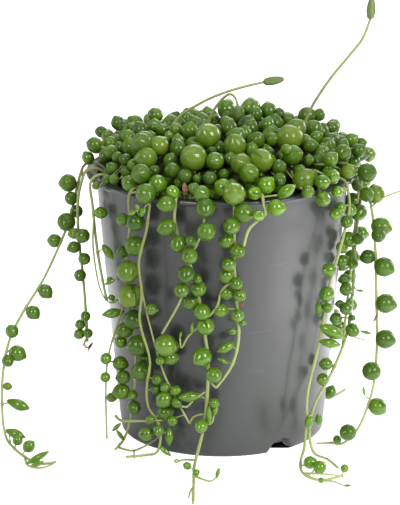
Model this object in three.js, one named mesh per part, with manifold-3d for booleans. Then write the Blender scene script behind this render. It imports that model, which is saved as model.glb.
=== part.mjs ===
// A potted string of pearls (Curio rowleyanus) in its plastic nursery pot.
//
// The pot stands on the floor, centred on the origin, with +Z up and the front at -Y. All sizes are
// in millimetres. Each trailing strand is one node: a stem that stands in a plain hole in the potting
// soil, climbs over the lip of the pot, hangs down, and lies along the floor where it is longer than
// the pot is tall. Its leaves, the pearls, are fused to it. The crown is a mound of shoots and pearls
// in the middle of the pot, and three flower stalks stand in it.
import * as THREE from 'three';
import Module from 'manifold-3d';
import { mergeVertices } from 'three/addons/utils/BufferGeometryUtils.js';

const wasm = await Module();
wasm.setup();

// ---------------------------------------------------------------- driving dimensions

const GAP = 0.35; // left between any two pieces that meet
const POT = {
  height: 119, // a common 12 cm nursery pot
  lipRadius: 60,
  lipThickness: 2,
  baseRadius: 46, // outside of the wall at the floor
  wallTopRadius: 55.9, // outside of the wall under the lip
  wall: 1.3,
  sides: 32,
  floorLift: 2.4, // the drained channel of the base stands this far above the floor
  padRadius: 17, // the middle of the base stands on the floor again
  footWidth: 5,
};
const NOTCH = { count: 3, firstBearing: 41, width: 30, rise: 2.3 }; // width in degrees round the base
const DRAIN = { offset: -5, width: 9, height: 3 }; // the arched hole over each notch
const SOIL = { top: 107, relief: 0.5 };
// the crown spreads like a mushroom over the stems that climb past its neck
const CROWN = { neck: 43, radius: 50.5, shoulder: 125.6, top: 135.5, rim: 47 };
const ROOTSTOCK = { radius: 5, depth: 9, sides: 6 }; // holds the crown in the soil
const STEM = { radius: 0.85, sides: 4, hole: 1.1 }; // hole: how much wider the hole in the soil is
// every strand climbs alike, in [radius, z]: from its root in the soil over the lip of the pot
const CLIMB = [[47, 100], [48.3, 111], [51.5, 118.6], [56, 121.5], [60.4, 120.9], [62.3, 117.4]];
const FOOT = { least: 0.3, taper: 0.7 }; // radius of a drawn-out foot: least + taper x share x pearl radius
// corners and tip of a pearl in radii from its middle; those below a radius have eight faces only
const PEARL = { swell: 1.07, tip: 1.25, plainBelow: 3, plainSwell: 1.15 };
const GOLDEN_SHARE = 0.618; // of a turn, from one leaf to the next round the stem

const wallRadius = (z) =>
  POT.baseRadius + ((POT.wallTopRadius - POT.baseRadius) * Math.min(Math.max(z, 0), POT.height)) / POT.height;

// ---------------------------------------------------------------- small helpers

const vec = (x, y, z) => new THREE.Vector3(x, y, z);
const mix = (a, b, share) => a + (b - a) * share;
const rad = THREE.MathUtils.degToRad;

/** A point at a bearing round the pot, in degrees from the front towards +X. */
const around = (bearing, radius, z) => vec(radius * Math.sin(rad(bearing)), -radius * Math.cos(rad(bearing)), z);

/** A seeded draw of numbers from 0 to 1 (mulberry32), the same on every run. */
function drawer(seed) {
  let state = seed >>> 0;
  return () => {
    state = (state + 0x6d2b79f5) >>> 0;
    let t = state;
    t = Math.imul(t ^ (t >>> 15), t | 1);
    t ^= t + Math.imul(t ^ (t >>> 7), t | 61);
    return ((t ^ (t >>> 14)) >>> 0) / 4294967296;
  };
}

/** A closed three.js geometry as a solid that can be joined and cut. */
function solidOf(geometry) {
  const bare = geometry.index ? geometry.toNonIndexed() : geometry.clone();
  bare.deleteAttribute('normal');
  bare.deleteAttribute('uv');
  const merged = mergeVertices(bare, 1e-4);
  const made = new wasm.Manifold(
    new wasm.Mesh({
      numProp: 3,
      vertProperties: new Float32Array(merged.attributes.position.array),
      triVerts: new Uint32Array(merged.index.array),
    }),
  );
  if (made.volume() > 0) return made;
  const flipped = Uint32Array.from(merged.index.array);
  for (let i = 0; i < flipped.length; i += 3) [flipped[i + 1], flipped[i + 2]] = [flipped[i + 2], flipped[i + 1]];
  return new wasm.Manifold(
    new wasm.Mesh({
      numProp: 3,
      vertProperties: new Float32Array(merged.attributes.position.array),
      triVerts: flipped,
    }),
  );
}

/** A solid as a named mesh. Scraps that a cut left loose are dropped. */
function meshOf(name, solid, material) {
  const bodies = solid.simplify(0.02).decompose();
  const body = bodies.reduce((a, b) => (a.volume() > b.volume() ? a : b));
  const { vertProperties, triVerts } = body.getMesh();
  const geometry = new THREE.BufferGeometry()
    .setAttribute('position', new THREE.BufferAttribute(new Float32Array(vertProperties), 3))
    .setIndex(new THREE.BufferAttribute(new Uint32Array(triVerts), 1));
  geometry.computeVertexNormals();
  const mesh = new THREE.Mesh(geometry, material);
  mesh.name = name;
  return mesh;
}

/** A solid turned from a profile of [radius, height] points that starts and ends on the axis. */
function turned(profile, sides) {
  const geometry = new THREE.LatheGeometry(
    profile.map(([r, z]) => new THREE.Vector2(r, z)),
    sides,
  );
  return solidOf(geometry.rotateX(Math.PI / 2));
}

/** Straight stretches from knot to knot. Places along it are measured by length. */
class KnottedLine extends THREE.CurvePath {
  constructor(knots) {
    super();
    this.knots = knots;
    for (let i = 1; i < knots.length; i++) this.add(new THREE.LineCurve3(knots[i - 1], knots[i]));
  }
}

/** The smooth bend through the same knots, whose equal steps go from knot to knot. */
class KnotByKnot extends THREE.CatmullRomCurve3 {
  getPointAt(share) {
    return this.getPoint(share);
  }
  getTangentAt(share) {
    return this.getTangent(share);
  }
}

/** A rod along a line, with a ring of corners at each knot. */
function rod({ knots }, radius, sides) {
  const section = new THREE.Shape();
  for (let i = 0; i < sides; i++) {
    const a = (i / sides) * 2 * Math.PI;
    if (i === 0) section.moveTo(radius, 0);
    else section.lineTo(radius * Math.cos(a), radius * Math.sin(a));
  }
  const extrudePath = new KnotByKnot(knots, false, 'catmullrom', 0.5);
  return solidOf(new THREE.ExtrudeGeometry(section, { steps: knots.length - 1, extrudePath, bevelEnabled: false }));
}

// ---------------------------------------------------------------- materials

const paint = (hex, roughness) => new THREE.MeshStandardMaterial({ color: hex, roughness, metalness: 0 });
const MATERIALS = {
  pot: paint(0x6f7172, 0.5),
  soil: paint(0x2e231b, 0.95),
  pearls: paint(0x4f8a33, 0.35),
  stalk: paint(0x8fa862, 0.5),
};

// ---------------------------------------------------------------- pot

/** The tapered cup with its flat lip, its foot ring and the pad in the middle of the base. */
function potBody() {
  const { height, lipRadius, lipThickness, wall, floorLift, padRadius, footWidth } = POT;
  const floorTop = floorLift + wall;
  const lipUnder = height - lipThickness;
  const footInside = POT.baseRadius - footWidth;
  return turned(
    [
      [0, 0],
      [padRadius, 0],
      [padRadius + 1.5, floorLift],
      [footInside - 1.5, floorLift],
      [footInside, 0],
      [POT.baseRadius, 0],
      [wallRadius(lipUnder), lipUnder],
      [lipRadius - 0.5, lipUnder],
      [lipRadius, lipUnder + 0.6],
      [lipRadius - 0.3, height],
      [wallRadius(height), height],
      [wallRadius(height) - wall, height - wall],
      [wallRadius(floorTop) - wall, floorTop],
      [0, floorTop],
    ],
    POT.sides,
  );
}

/** A bar that points away from the axis at a bearing, with an arched top or a flat one. */
function radialBar(bearing, width, height, arched) {
  const inner = POT.baseRadius - POT.footWidth - 4;
  const length = POT.footWidth + 10;
  const section = new THREE.Shape();
  section.moveTo(-width / 2, -1);
  section.lineTo(width / 2, -1);
  section.lineTo(width / 2, height * (arched ? 0.35 : 1));
  if (arched) section.quadraticCurveTo(0, height * 1.65, -width / 2, height * 0.35);
  else section.lineTo(-width / 2, height);
  const bar = new THREE.ExtrudeGeometry(section, { depth: length, curveSegments: 4, bevelEnabled: false });
  // the section stands upright and the bar runs outwards along -Y, then turns to its bearing
  bar.rotateX(Math.PI / 2).translate(0, -inner, 0).rotateZ(rad(bearing));
  return solidOf(bar);
}

/** The foot ring is cut away over wide notches, each with an arched drain hole above it. */
function pot() {
  let body = potBody();
  for (let i = 0; i < NOTCH.count; i++) {
    const bearing = NOTCH.firstBearing + (i * 360) / NOTCH.count;
    const notchWidth = 2 * POT.baseRadius * Math.sin(rad(NOTCH.width / 2));
    body = body.subtract(radialBar(bearing, notchWidth, NOTCH.rise, false));
    body = body.subtract(radialBar(bearing + DRAIN.offset, DRAIN.width, NOTCH.rise + DRAIN.height, true));
  }
  return body;
}

// ---------------------------------------------------------------- how stems run

/** A strand stands in the soil, climbs over the lip and then follows its own route down. */
function strandLine(route) {
  const first = vec(...route[0]);
  const bearing = THREE.MathUtils.radToDeg(Math.atan2(first.x, -first.y));
  return new KnottedLine([
    ...CLIMB.map(([radius, z]) => around(bearing, radius, z)),
    ...route.map((p) => vec(...p)),
  ]);
}

// Each strand: its route from below the lip on, and its leaves, placed by where they show from the front.
// pearls stand in front of the stem or beside it and behind stand behind it, both as [x, z, radius].
// drops are the long young leaves, [x, z, radius, way in x, way in z], and free are those on the lip
// and on the floor, [x, y, z, radius].
const FRONT_STRANDS = [
  {
    name: 'strand_far_left',
    route: [[-64.5, -2, 109], [-67.5, -7, 97], [-72, -11, 86], [-79, -16, 72], [-88, -20, 58],
      [-94, -23, 46], [-97, -26, 31], [-97.5, -28, 14], [-96, -31, 4], [-92, -38, 1.3], [-86, -49, 1.3],
      [-79, -57, 1.3], [-72, -55, 1.3]],
    pearls: [[-68, 112.5, 3.7], [-66.5, 106.5, 2.9], [-68.5, 97, 3.9], [-78, 67, 3], [-83.5, 58, 3],
      [-92.5, 51, 2.9], [-90.5, 40.5, 3.4], [-94.5, 38, 2.6], [-95, 26, 1.7]],
    behind: [[-74, 88, 3], [-64.5, 100, 2.8]],
    drops: [[-90, 17.5, 3.1, 1, -0.3], [-91, 6.5, 2.7, 1, -0.3]],
    free: [[-90, -38, 4.8, 2.2], [-84.5, -46, 5, 2.6], [-59, -2, 124, 2.6]],
  },
  {
    name: 'strand_left_short',
    route: [[-63, -13.5, 108], [-63, -15, 92], [-61.5, -15, 75], [-60.5, -15, 58], [-60, -15, 43]],
    pearls: [[-61, 92.5, 3.1], [-65, 87, 2.6], [-60.5, 82, 2.6], [-62.5, 74.5, 2.6], [-60.5, 55.5, 2.2],
      [-63, 51, 2.2], [-63.5, 46.5, 2.3], [-59.5, 47.5, 2]],
    behind: [[-65, 92.5, 2.4]],
  },
  {
    name: 'strand_left_wisp',
    route: [[-56, -24.8, 108], [-54.5, -24.5, 90], [-52.5, -24.5, 76], [-50.5, -24.5, 65]],
    pearls: [[-52.5, 105, 2.6], [-49, 74.5, 1.4], [-48.5, 66.5, 1.3]],
    drops: [[-49.5, 87, 2.4, 0.6, -0.8]],
  },
  {
    name: 'strand_big_pearls',
    route: [[-39, -48, 106], [-40.5, -45, 90], [-40.5, -42, 72], [-38.5, -41, 56], [-37.5, -41, 40],
      [-39, -38.5, 24], [-41, -36, 11], [-44, -34.5, 3], [-47, -40, 1.3]],
    pearls: [[-36.5, 108, 3.5], [-37, 97, 3.8], [-40, 85.5, 4.2], [-39, 74, 4.6], [-38, 63, 3.8],
      [-36.5, 51, 3.9], [-34, 44.5, 1.9], [-35, 39, 3.7], [-50.5, 43.5, 2.2], [-51, 34.5, 2],
      [-43, 35, 2.7], [-44, 28, 3.2], [-39, 27, 2], [-38.5, 21, 2.7], [-48.5, 24, 1.9]],
    behind: [[-42, 108.5, 2.3], [-42.5, 93.5, 2.2], [-42, 57, 3], [-44, 51, 2.4], [-44.5, 40.5, 2.9]],
    drops: [[-47.5, 64.5, 2.6, -1, -0.1]],
    free: [[-31.8, -55.5, 121.6, 3.7], [-39, -43.5, 123, 3], [-34, -52, 112.5, 1.7]],
    branch: [[-40.5, -42.3, 74], [-45, -40.5, 60], [-49.5, -38, 44], [-51, -36, 28], [-51, -34, 4]],
  },
  {
    name: 'strand_forked',
    route: [[-31.5, -56.5, 107], [-35, -55.5, 92], [-34, -54.5, 78], [-35, -52.5, 64], [-31, -51.5, 47],
      [-32.5, -48, 34], [-32, -46.8, 24], [-27, -49, 15], [-28, -49, 4], [-34, -47, 1.3],
      [-42, -49, 1.3]],
    pearls: [[-30, 70.5, 2.3], [-24, 53.5, 4.3], [-26.5, 47, 1.8], [-28, 37, 2.1], [-24.5, 34, 1.8],
      [-20, 33, 2.1], [-25, 28.5, 3.2], [-24.5, 21.5, 3.1], [-21.5, 19, 1.9], [-19.5, 28, 2.1],
      [-33, 12, 2.6], [-27.5, 14.5, 2.3], [-31, 18.5, 1.9]],
    behind: [[-22, 47.5, 2.7], [-28.5, 32, 2]],
    drops: [[-23, 10.5, 2.3, 0, -1]],
    free: [[-27, -50.5, 124.5, 3.5]],
    branch: [[-34, -54.5, 79], [-31.5, -53, 66], [-26.5, -51, 45], [-21.5, -50.5, 32], [-14, -52.5, 18]],
  },
  {
    name: 'strand_centre_long',
    route: [[-19.5, -58.8, 108], [-15, -58, 96], [-11, -57, 82], [-8, -56, 64], [-6, -55.5, 48],
      [-6.5, -54, 30], [-8.5, -53, 14], [-11, -55, 4], [-12, -62, 1.3], [-12, -82, 1.3],
      [-12, -101, 1.3]],
    pearls: [[-23, 118, 3.2], [-23, 108, 3.4], [-18, 101.5, 3.3], [-10, 81.5, 3.1], [-13.5, 74.5, 3],
      [-8.5, 71, 3.1], [-7, 64.5, 3.3], [-8.5, 50.5, 3.6], [-3.5, 42, 3.1], [-3.5, 28, 1.9],
      [-9, 18, 2.6]],
    drops: [[-14, 31, 3, -1, 0]],
    free: [[-11, -70, 2.2, 1.3], [-15, -64, 3, 1.5], [-20.5, -58, 123, 2.6]],
  },
  {
    name: 'strand_centre_left',
    route: [[-8, -66.5, 109], [-12.5, -65, 98], [-16, -63.5, 87], [-17.5, -62, 77], [-25.5, -58.5, 61]],
    pearls: [[-7, 118, 3.7], [-6.5, 109, 3.3], [-13.5, 98, 3.1], [-15, 90, 3.3], [-17, 82.5, 2.9]],
    behind: [[-12.5, 103.5, 2.3], [-10.5, 87, 1.7]],
    free: [[-8.5, -62, 123.3, 3.2], [-11.5, -58, 124.5, 2.2]],
  },
  {
    name: 'strand_front',
    route: [[5.2, -63, 110], [5, -61, 93], [6.5, -59, 72], [7, -58, 58], [4, -57.5, 46],
      [-2.5, -59.5, 37]],
    pearls: [[9, 115, 3.6], [4, 110.5, 3.2], [2, 103, 2.8], [6.5, 99, 2.8], [3, 93, 2.7], [2, 87.5, 3],
      [6, 84.5, 2.5], [7.5, 79, 2.4], [-0.5, 71.5, 2.6], [6.5, 70, 2.5], [8.5, 66, 1.5], [4.5, 62, 1.4]],
    behind: [[2, 79.5, 2.6]],
    drops: [[1.5, 54.5, 2.6, -0.9, -0.4], [0.5, 48.5, 1.6, -0.9, 0.5]],
    free: [[5, -63, 123.5, 4.2], [0.5, -56.5, 124.5, 3.4]],
  },
  {
    name: 'strand_front_short',
    route: [[18, -62, 114.5], [11.5, -65.5, 109.5], [9, -66.5, 102]],
    pearls: [[15, 114.5, 3], [22.5, 117, 3.4]],
    drops: [[27, 123.5, 3, 0.8, 0.6]],
    free: [[18.5, -54.5, 125, 3.5], [13.5, -58, 122.5, 2.7]],
  },
  {
    name: 'strand_right_crossing',
    route: [[54.5, -31.5, 108], [51, -36, 93], [46.5, -40, 78], [44, -41, 62], [41, -41.5, 46],
      [37.3, -42.5, 29], [37, -42, 14], [36, -45, 4], [34, -56, 1.3], [35, -69, 1.3], [42, -76, 1.3],
      [51.5, -71, 1.3]],
    pearls: [[53.5, 104, 2.7], [46, 84, 3], [45, 74, 3.2], [45.5, 67.5, 2.1], [48, 56, 3]],
    drops: [[42, 67, 2.4, 0, 1], [47, 51, 2.6, 1, -0.1], [38, 16, 2.3, 0.1, 1]],
    free: [[38, -60, 3, 2.6], [42, -66, 3.2, 2.8], [42, -79, 2.4, 1.3], [52.5, -68, 3.4, 1.8],
      [45.5, -32, 124.5, 2.9], [49, -36, 117, 2.5], [50.5, -35, 110, 2.5], [55.5, -26, 106.5, 2.5],
      [48.5, -38, 108, 2.5]],
  },
  {
    name: 'strand_right_inner',
    route: [[60.5, -14, 108], [58.5, -16.5, 90], [57.8, -18.5, 70], [55.5, -21, 50], [49, -27.5, 34],
      [43, -34.5, 21], [41.8, -38, 10], [43, -43, 2], [46, -52, 1.3], [50, -62, 1.3]],
    pearls: [[59.5, 103.5, 3.6], [55.5, 91, 3.3], [59.5, 91.5, 2.5], [57.5, 80.5, 2.4],
      [54.5, 68.5, 2.8], [54.5, 60.5, 2.8], [57.5, 56, 1.3], [57.5, 51, 3], [46, 36.5, 2.7],
      [44.5, 31, 2.7]],
    behind: [[52.5, 87, 2.6], [53, 81, 2.8], [54, 73, 2.4], [52, 62, 1.8], [50.5, 55.5, 2.6]],
    drops: [[42.5, 15, 2, 0, 1]],
    free: [[57.5, -12, 124.5, 2.8], [60.5, -17, 113, 2.9]],
  },
  {
    name: 'strand_far_right',
    route: [[64, -22, 110], [66.5, -25, 92], [67.5, -28, 66], [68, -30, 46], [66.5, -33, 28],
      [61, -35, 11], [54, -34, 2], [48.5, -32, 1.3]],
    pearls: [[62.5, 113, 3.2], [69, 99, 3.9], [67.5, 95.5, 3.1], [63.5, 85.5, 3.1], [70.5, 81.5, 4.1],
      [71.5, 65, 4.1], [71.5, 49.5, 4], [65.5, 36, 3.9], [68.5, 19, 3.7], [55.5, 8, 3.5], [51, 3.4, 1.8]],
    behind: [[66.5, 112.5, 3.9]],
    free: [[62.5, -22, 122, 3.9], [54, -19, 124.5, 2.6]],
    branch: [[64.6, -22.6, 107], [70, -25, 112], [79.5, -26, 116]],
  },
];

// The strands at the back and the sides follow a rule: [bearing, lowest point, length on the floor].
const BACK_STRANDS = [
  [97, 34, 0], [116, 1.3, 14], [135, 58, 0], [154, 16, 0], [173, 1.3, 26], [192, 44, 0], [211, 1.3, 8],
  [230, 62, 0],
];

/** A strand that hangs down the wall at one bearing, swaying a little, and may run out on the floor. */
function hangingRoute([bearing, lowest, onFloor], draw) {
  const sway = 6 * (draw() - 0.5);
  const phase = draw();
  const clear = 5.5 + 2 * draw();
  const route = [];
  const hangs = 109 - Math.max(lowest, 8);
  const bends = Math.max(3, Math.round(hangs / 17));
  for (let i = 0; i <= bends; i++) {
    const z = 109 - (hangs * i) / bends;
    const swing = sway * Math.sin(2 * Math.PI * (phase + (0.8 * i) / bends));
    route.push(around(bearing + swing, wallRadius(z) + clear, z));
  }
  if (onFloor > 0) {
    const foot = wallRadius(0) + clear + 4;
    const last = bearing + sway;
    route.push(around(last, foot, 1.5));
    route.push(around(last + 2, foot + onFloor / 2, 1.3));
    route.push(around(last + 5, foot + onFloor, 1.3));
  }
  return route.map((p) => p.toArray());
}

const backDraw = drawer(11);
const STRANDS = [
  ...FRONT_STRANDS,
  ...BACK_STRANDS.map((rule, i) => ({
    name: `strand_back_${i + 1}`,
    route: hangingRoute(rule, backDraw),
    leaves: { from: 5, to: 2, gap: [12, 15], size: [mix(3.4, 4.2, backDraw()), 2.7], seed: 40 + i },
  })),
];

// Short shoots of the crown that reach over the lip between the strands: [bearing, reach, droop].
const SHOOTS = [
  [41, 63, 116], [50, 62, 122], [69, 63, 124], [86, 66, 128], [105, 61, 125], [125, 61, 125],
  [144, 61, 124], [163, 61, 124], [182, 62, 123], [201, 61, 125], [221, 61, 123], [240, 60, 124],
  [262, 60, 125],
];

/** A shoot leaves the crown, arches over the lip and droops past it. */
function shootLine([bearing, reach, droop]) {
  return new KnottedLine([
    around(bearing, CROWN.radius - 5, CROWN.shoulder),
    around(bearing, CROWN.radius + 3, mix(CROWN.shoulder + 2, Math.max(droop, 123), 0.4)),
    around(bearing + 1, mix(CROWN.radius + 3, reach, 0.65), Math.max(droop + 1, 122.8)),
    around(bearing + 2, reach, droop),
  ]);
}

// The flower stalks: a thin stem with a closed bud at its end.
const STALKS = [
  {
    name: 'flower_stalk_tall',
    route: [[31.5, 11.5, 120], [38, 10.5, 140], [43, 9, 150], [49, 8, 159], [56, 7, 168], [61.5, 6.3, 175.5],
      [64.6, 6, 184]],
    bud: { length: 9.5, radius: 1.9, towards: [0.06, 0, 1] },
  },
  {
    name: 'flower_stalk_leaning',
    route: [[-28, 2, 124], [-20, 0, 140.5], [-10, -1.5, 148], [0, -3, 153], [10, -4, 156.3], [18, -5, 158.4]],
    bud: { length: 9, radius: 1.9, towards: [1, 0, 0.16] },
  },
  {
    name: 'flower_stalk_nodding',
    route: [[-8, 8, 127], [-6, 6, 138], [-3, 4, 145], [1, 3, 150], [3.7, 2.3, 151.6], [6, 1, 150], [6.8, 0.4, 147]],
    bud: { length: 6, radius: 1.3, towards: [0.05, 0, -1] },
  },
];
const STALK = { radius: 0.65, sides: 4, hole: 0.8 };

// ---------------------------------------------------------------- where pearls may sit

const LIP_AT = 24; // how far along a strand's stem the top of the lip is
const FRONTWARDS = vec(0, -0.955, 0.297); // towards the front and a little up
const SEAT_TRIES = 14; // of half a millimetre outwards each
const CLOSENESS = { byHand: 0.88, byRule: 1.03, onDome: 1 }; // of two pearls of a piece, in both radii

const stems = []; // every stem as { owner, radius, points }, a point each 2 mm
const pearls = []; // every pearl as { owner, centre, axis, size }

function addStem(owner, line, radius) {
  const count = Math.max(2, Math.round(line.getLength() / 2));
  const points = [];
  for (let i = 0; i <= count; i++) points.push(line.getPointAt(i / count));
  stems.push({ owner, radius, points });
}

/** True if a leaf of a radius keeps clear of the pot, its lip, the soil and the floor. */
function clearOfPot(p, size) {
  const r = PEARL.swell * size;
  const radius = Math.hypot(p.x, p.y);
  if (p.z - r < 0.2) return false;
  const nearLip = vec(Math.min(Math.max(radius, wallRadius(POT.height) - 1), POT.lipRadius), 0, 0);
  const lipDistance = Math.hypot(radius - nearLip.x, p.z - (POT.height - POT.lipThickness / 2));
  if (lipDistance < r + POT.lipThickness / 2 + GAP) return false;
  if (p.z > POT.height) return true;
  if (radius > wallRadius(p.z)) return radius - r > wallRadius(p.z) + GAP;
  return radius + r < wallRadius(p.z) - POT.wall - GAP && p.z - r > SOIL.top + 1;
}

/**
 * True if a ball keeps clear of the stems of other pieces and of every pearl. Pearls of its own piece
 * may come as near as closeness times both radii, and at 0 they don't count.
 */
function clearOfPlant(p, r, owner, closeness) {
  for (const stem of stems) {
    if (stem.owner === owner) continue;
    const need = PEARL.swell * r + stem.radius + GAP;
    if (stem.points.some((q) => q.distanceToSquared(p) < need * need)) return false;
  }
  return pearls.every((q) => {
    const need = q.owner === owner ? (r + q.size) * closeness : (r + q.size) * PEARL.swell + GAP;
    return q.centre.distanceToSquared(p) >= need * need;
  });
}

function mayGrow(pearl, closeness) {
  const tip = pearl.centre.clone().addScaledVector(pearl.axis, pearl.size * (PEARL.tip - 0.2));
  return (
    clearOfPot(pearl.centre, pearl.size) &&
    clearOfPot(tip, pearl.size * 0.25) &&
    clearOfPlant(pearl.centre, pearl.size, pearl.owner, closeness) &&
    clearOfPlant(tip, pearl.size * 0.25, pearl.owner, closeness)
  );
}

/**
 * Balls each 2 mm or so along the tapered foot of a leaf that stands off its stem, as [point, radius],
 * and none if it doesn't.
 */
function footBalls(foot, centre, size) {
  const reach = centre.distanceTo(foot);
  if (reach <= size * 0.9 + 0.4) return [];
  const count = Math.floor((reach - size) / 2) + 1;
  const balls = [];
  for (let i = 0; i < count; i++) {
    const share = ((i + 0.5) * (reach - size)) / count / reach;
    balls.push([foot.clone().lerp(centre, share), FOOT.least + FOOT.taper * size * share]);
  }
  return balls;
}

/** Put a pearl at its place, or as little outwards of it as will do. */
function seatPearl(owner, foot, tangent, centre, size, way, outwards) {
  const place = centre.clone();
  for (let attempt = 0; attempt < SEAT_TRIES; attempt++) {
    const axis = way ? way.clone() : place.clone().sub(foot).normalize().addScaledVector(tangent, 0.3);
    const pearl = { owner, size, axis: axis.normalize(), centre: place, foot };
    const balls = footBalls(foot, place, size);
    const passes = balls.every(([p, r]) => clearOfPot(p, r) && clearOfPlant(p, r, owner, 0));
    if (passes && mayGrow(pearl, CLOSENESS.byHand)) {
      pearls.push({ ...pearl, standsOff: balls.length > 0 });
      balls.forEach(([p, r]) => stems.push({ owner, radius: r, points: [p] }));
      return;
    }
    place.addScaledVector(outwards, 0.5);
  }
}

/** Points each millimetre along the stems of a strand from the lip on, and the way they run. */
function stretchOf(made) {
  const stretch = [];
  made.forEach((line, index) => {
    const length = line.getLength();
    for (let at = index ? 0 : LIP_AT - 4; at < length; at++) {
      stretch.push({ point: line.getPointAt(at / length), tangent: line.getTangentAt(at / length) });
    }
  });
  return stretch;
}

const nearestOf = (stretch, away) => stretch.reduce((a, b) => (away(b.point) < away(a.point) ? b : a));

/** Seat the pearls that are listed for a strand: each leans against the nearest stretch of its stem. */
function seatByHand(strand, made) {
  const stretch = stretchOf(made);
  const seat = (x, z, size, side, way) => {
    const away = (p) => Math.hypot(p.x - x, p.z - z);
    const { point, tangent } = nearestOf(stretch, away);
    const depth = Math.sqrt(Math.max((size * 0.9 + 0.3) ** 2 - away(point) ** 2, 0));
    const centre = vec(x, point.y + side * depth, z);
    seatPearl(strand.name, point, tangent, centre, size, way, FRONTWARDS);
  };
  for (const [x, z, size] of strand.behind ?? []) seat(x, z, size, 1);
  for (const [x, z, size] of strand.pearls) seat(x, z, size, -1);
  for (const [x, z, size, wayX, wayZ] of strand.drops ?? []) seat(x, z, size, -1, vec(wayX, -0.25, wayZ));
  for (const [x, y, z, size] of strand.free ?? []) {
    const centre = vec(x, y, z);
    const { point, tangent } = nearestOf(stretch, (p) => p.distanceToSquared(centre));
    seatPearl(strand.name, point, tangent, centre, size, undefined, FRONTWARDS);
  }
}

/** The direction square to a stem at an angle round it, where 0 faces up and away from the pot. */
function sideOf(point, tangent, angle) {
  const out = vec(point.x, point.y, 0).normalize().add(vec(0, 0, 0.6));
  const a = out.addScaledVector(tangent, -out.dot(tangent)).normalize();
  const b = a.clone().cross(tangent);
  return a.multiplyScalar(Math.cos(rad(angle))).addScaledVector(b, Math.sin(rad(angle)));
}

/**
 * Leaves follow each other round the stem by the golden share of their spread, and shrink towards
 * its tip. Where one would touch something, it turns to either side, and is left out at last.
 */
function growPearls(owner, line, { from, to, gap, size, side = 0, spread = 180, seed }, start) {
  const draw = drawer(seed);
  const length = line.getLength();
  let turn = draw();
  let at = start + from;
  while (at < length - to) {
    const share = (at - start) / (length - start);
    const radius = mix(size[0], size[1], share) * mix(0.86, 1.14, draw());
    const middle = line.getPointAt(at / length);
    const tangent = line.getTangentAt(at / length);
    const angle = side + spread * (2 * turn - 1);
    for (let attempt = 0; attempt < 9; attempt++) {
      const swing = 20 * attempt * (attempt % 2 ? -1 : 1);
      const facing = sideOf(middle, tangent, angle + swing);
      const pearl = {
        owner,
        size: radius,
        axis: facing.clone().addScaledVector(tangent, 0.3).normalize(),
        centre: middle.clone().addScaledVector(facing, radius * 0.9 + 0.3),
      };
      if (mayGrow(pearl, CLOSENESS.byRule)) {
        pearls.push(pearl);
        break;
      }
    }
    at += mix(gap[0], gap[1], share) * mix(0.75, 1.25, draw());
    turn = (turn + GOLDEN_SHARE) % 1;
  }
}

// ---------------------------------------------------------------- growing the plant

const lines = new Map(); // the line of each stem by owner, main stem first
for (const strand of STRANDS) {
  const made = [strandLine(strand.route)];
  if (strand.branch) made.push(new KnottedLine(strand.branch.map((p) => vec(...p))));
  lines.set(strand.name, made);
  made.forEach((line) => addStem(strand.name, line, STEM.radius));
}
const shootLines = SHOOTS.map(shootLine);
shootLines.forEach((line) => addStem('crown', line, STEM.radius));
for (const stalk of STALKS) {
  const line = new KnottedLine(stalk.route.map((p) => vec(...p)));
  lines.set(stalk.name, [line]);
  addStem(stalk.name, line, STALK.radius);
}

for (const strand of STRANDS) {
  const made = lines.get(strand.name);
  if (strand.leaves) growPearls(strand.name, made[0], strand.leaves, LIP_AT);
  else seatByHand(strand, made);
}

/** The crown's height above a radius: a flat dome with a steep shoulder. */
function crownHeight(radius) {
  const share = Math.min(radius / CROWN.radius, 1);
  return CROWN.shoulder + (CROWN.top - CROWN.shoulder) * Math.pow(1 - Math.pow(share, 3), 0.6);
}

/** The direction out of the dome at a point of it. */
function crownNormal(p) {
  const radius = Math.hypot(p.x, p.y);
  const slope = crownHeight(radius + 0.5) - crownHeight(Math.max(radius - 0.5, 0));
  const out = radius > 0.1 ? vec(p.x / radius, p.y / radius, 0) : vec(0, 0, 0);
  return out.multiplyScalar(-slope).add(vec(0, 0, 1)).normalize();
}

/** A pearl over a point of the dome, lift pearl radii above it, if it is clear there. */
function seatOnCrown(x, y, size, lift, draw) {
  const base = vec(x, y, crownHeight(Math.hypot(x, y)));
  const normal = crownNormal(base);
  const lean = vec(draw() - 0.5, draw() - 0.5, draw() - 0.5);
  const pearl = {
    owner: 'crown',
    size,
    axis: normal.clone().addScaledVector(lean, 0.9).normalize(),
    centre: base.addScaledVector(normal, size * lift),
  };
  if (mayGrow(pearl, CLOSENESS.onDome)) pearls.push(pearl);
}

/** Where the stalk of a pearl comes out of the mound, straight below it or at the mound's rim. */
function footOnCrown(x, y, size) {
  const inward = Math.min(1, CROWN.rim / Math.max(Math.hypot(x, y), 1e-6));
  return vec(x * inward, y * inward, crownHeight(Math.hypot(x, y) * inward) - 0.6 * size);
}

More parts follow.
